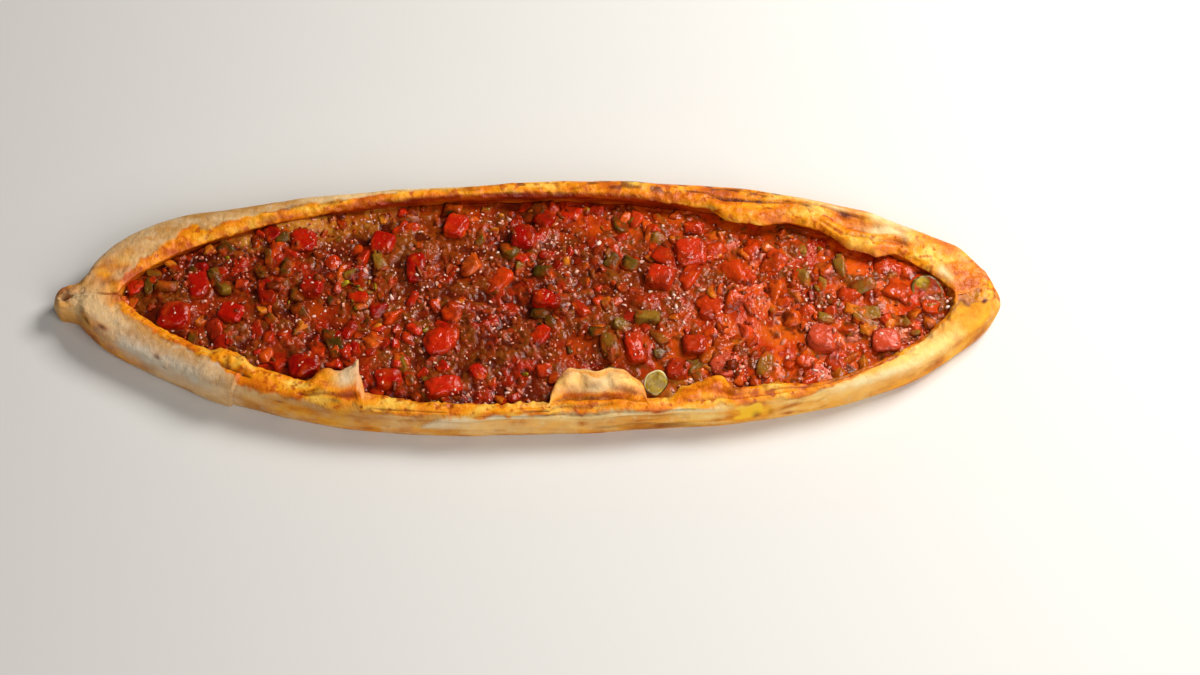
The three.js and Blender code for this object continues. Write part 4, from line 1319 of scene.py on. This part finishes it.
# %% Meat of the bed
mash = Recipe("mince_bed", Subsurface_Weight=0.1, Subsurface_Scale=0.0015,
              Subsurface_Radius=(1.0, 0.2, 0.05), Specular_IOR_Level=0.25)
meat = mash.shades(mash.kept("tone"), [(78, 24, 2), (114, 38, 5), (146, 52, 9), (124, 66, 14),
                                       (168, 64, 16), (182, 34, 4), (198, 104, 60)])
meat = mash.blend(mash.clouds(1.6, 4, 1, 0.4, 0.62, 0, 0.6), meat, paint(108, 32, 3))
meat = mash.blend(mash.clouds(9, 3, 2, 0.5, 0.62, 0, 0.75), meat, paint(180, 26, 1))
meat = mash.blend(mash.clouds(10, 3, 5, 0.5, 0.64, 0, 0.65), meat, paint(136, 68, 10))

# %% Juice, painted glints and fat on it
mash_right = mash.ramp(mash.x, 0.0, 0.13)
thin = mash.blend(mash_right, paint(196, 68, 4), paint(222, 94, 12))
thick = mash.blend(mash_right, paint(150, 34, 2), paint(200, 52, 4))
juice_colour = mash.blend(mash.clouds(5, 3, 3, 0.35, 0.65), thick, thin)
meat = mash.blend(mash.kept("juice"), meat, juice_colour)
# Tiny pale specks in clusters: painted glints on the wet mince
painted_glints = mash.math("MULTIPLY", mash.clouds(0.7, 2, 8, 0.6, 0.68),
                   mash.clouds(6, 2, 9, 0.45, 0.6, 0, 0.6))
meat = mash.blend(painted_glints, meat, paint(228, 150, 116))
fat_glaze = mash.shades(mash.clouds(3, 4, 7, 0.3, 0.7),
                        [(140, 60, 6), (178, 98, 18), (206, 142, 54)])
meat = mash.blend(mash.kept("fatty"), meat, fat_glaze)
# Painted shade between the crumbs, darkest where the bed lies deepest below its plain height, and
# lighter towards the right end, where more light falls
pit_shade = mash.blend(mash_right, paint(84, 19, 1), paint(176, 54, 4))
mash.varies("Base Color", mash.blend(mash.kept("pit"), meat, pit_shade))
mash.varies("Roughness", mash.clouds(1.6, 2, 6, 0.4, 0.6, 0.09, 0.26))
mash.bump(mash.noise(0.9, 4, 4), 0.6)
mash.finish(bed)

# %% [markdown]
# ## The slices' finish
# A slice shows green skin round its edge and yellow green flesh inside, with sauce over most of
# it, and one has a painted highlight along the upper edge of its skin. The numbers kept in its
# mesh say which is where, since a pattern in space wouldn't follow the edge of a slice that leans.

# %% Skin and flesh of the slices
ring = Recipe("pepper_slice", Roughness=0.25, Subsurface_Weight=0.12, Subsurface_Scale=0.002,
              Specular_IOR_Level=0.3)
flesh = ring.blend(ring.clouds(2, 3, 1, 0.4, 0.62), paint(140, 108, 8), paint(184, 152, 34))
juicy = ring.shades(ring.clouds(1.6, 4, 4, 0.3, 0.7), [(110, 30, 4), (168, 50, 6), (196, 78, 16)])
flesh = ring.blend(ring.kept("sauced"), flesh, juicy)
green_skin = ring.shades(ring.clouds(3, 2, 2, 0.35, 0.65),
                         [(52, 34, 6), (96, 74, 16), (196, 172, 100)])
# The rind's painted highlight, pale where it faces the light
green_skin = ring.blend(ring.kept("bleached"), green_skin, paint(226, 210, 150))
ring.varies("Base Color", ring.blend(ring.kept("rind"), flesh, green_skin))
ring.bump(ring.noise(0.8, 3, 3), 0.3)
ring.finish(*slices)

# %% [markdown]
# ## Floor, light and camera
# A wide pale floor and soft light keep the attention on the food. A sun lamp would throw hard
# shadows, so both lamps are wide squares. The main one is behind and to the right, so that it
# rakes over the rim and sparkles on the juice, and a larger, weaker one in front fills the
# shadows.

# %% Floor
FLOOR_SIZE = 6
bpy.ops.mesh.primitive_plane_add(size=FLOOR_SIZE)
floor = bpy.context.object
floor.name = "floor"
Recipe("pale_floor", Roughness=0.7, Base_Color=paint(226, 224, 220)).finish(floor)


# %% Lamps
def lamp(name, place, size, watts, colour):
    """A square area lamp that points at the middle of the object."""
    light = bpy.data.lights.new(name, "AREA")
    light.size, light.energy, light.color = size, watts, colour
    holder = bpy.data.objects.new(name, light)
    holder.location = place
    holder.rotation_euler = (-Vector(place)).to_track_quat("-Z", "Y").to_euler()
    bpy.context.scene.collection.objects.link(holder)
    print(f"{name}: {watts} W, {size} m wide, {holder.location.length:.2f} m away")


lamp("main_lamp", (0.58, 0.38, 0.72), size=0.42, watts=10.6, colour=(1.0, 0.97, 0.93))
lamp("fill_lamp", (0.5, -0.8, 0.75), size=0.8, watts=8.2, colour=(1.0, 0.98, 0.95))

# %% Light from all round
world = bpy.data.worlds.new("studio")
bpy.context.scene.world = world
world.use_nodes = True
background = world.node_tree.nodes["Background"]
background.inputs["Color"].default_value = (1, 1, 1, 1)
background.inputs["Strength"].default_value = 0.07
bpy.context.scene.view_settings.view_transform = "Standard"

# %% Camera
ELEVATION = np.radians(59)
DISTANCE, LENS = 1.127, 80
aim = Vector((0.0306, -0.010, 0.0))
camera_data = bpy.data.cameras.new("camera")
camera_data.lens = LENS
camera = bpy.data.objects.new("camera", camera_data)
camera.location = aim + DISTANCE * Vector((0, -np.cos(ELEVATION), np.sin(ELEVATION)))
camera.rotation_euler = (aim - camera.location).to_track_quat("-Z", "Y").to_euler()
bpy.context.scene.collection.objects.link(camera)
bpy.context.scene.camera = camera
print("camera:", LENS, "mm lens,", DISTANCE, "m from", tuple(round(v, 3) for v in aim))
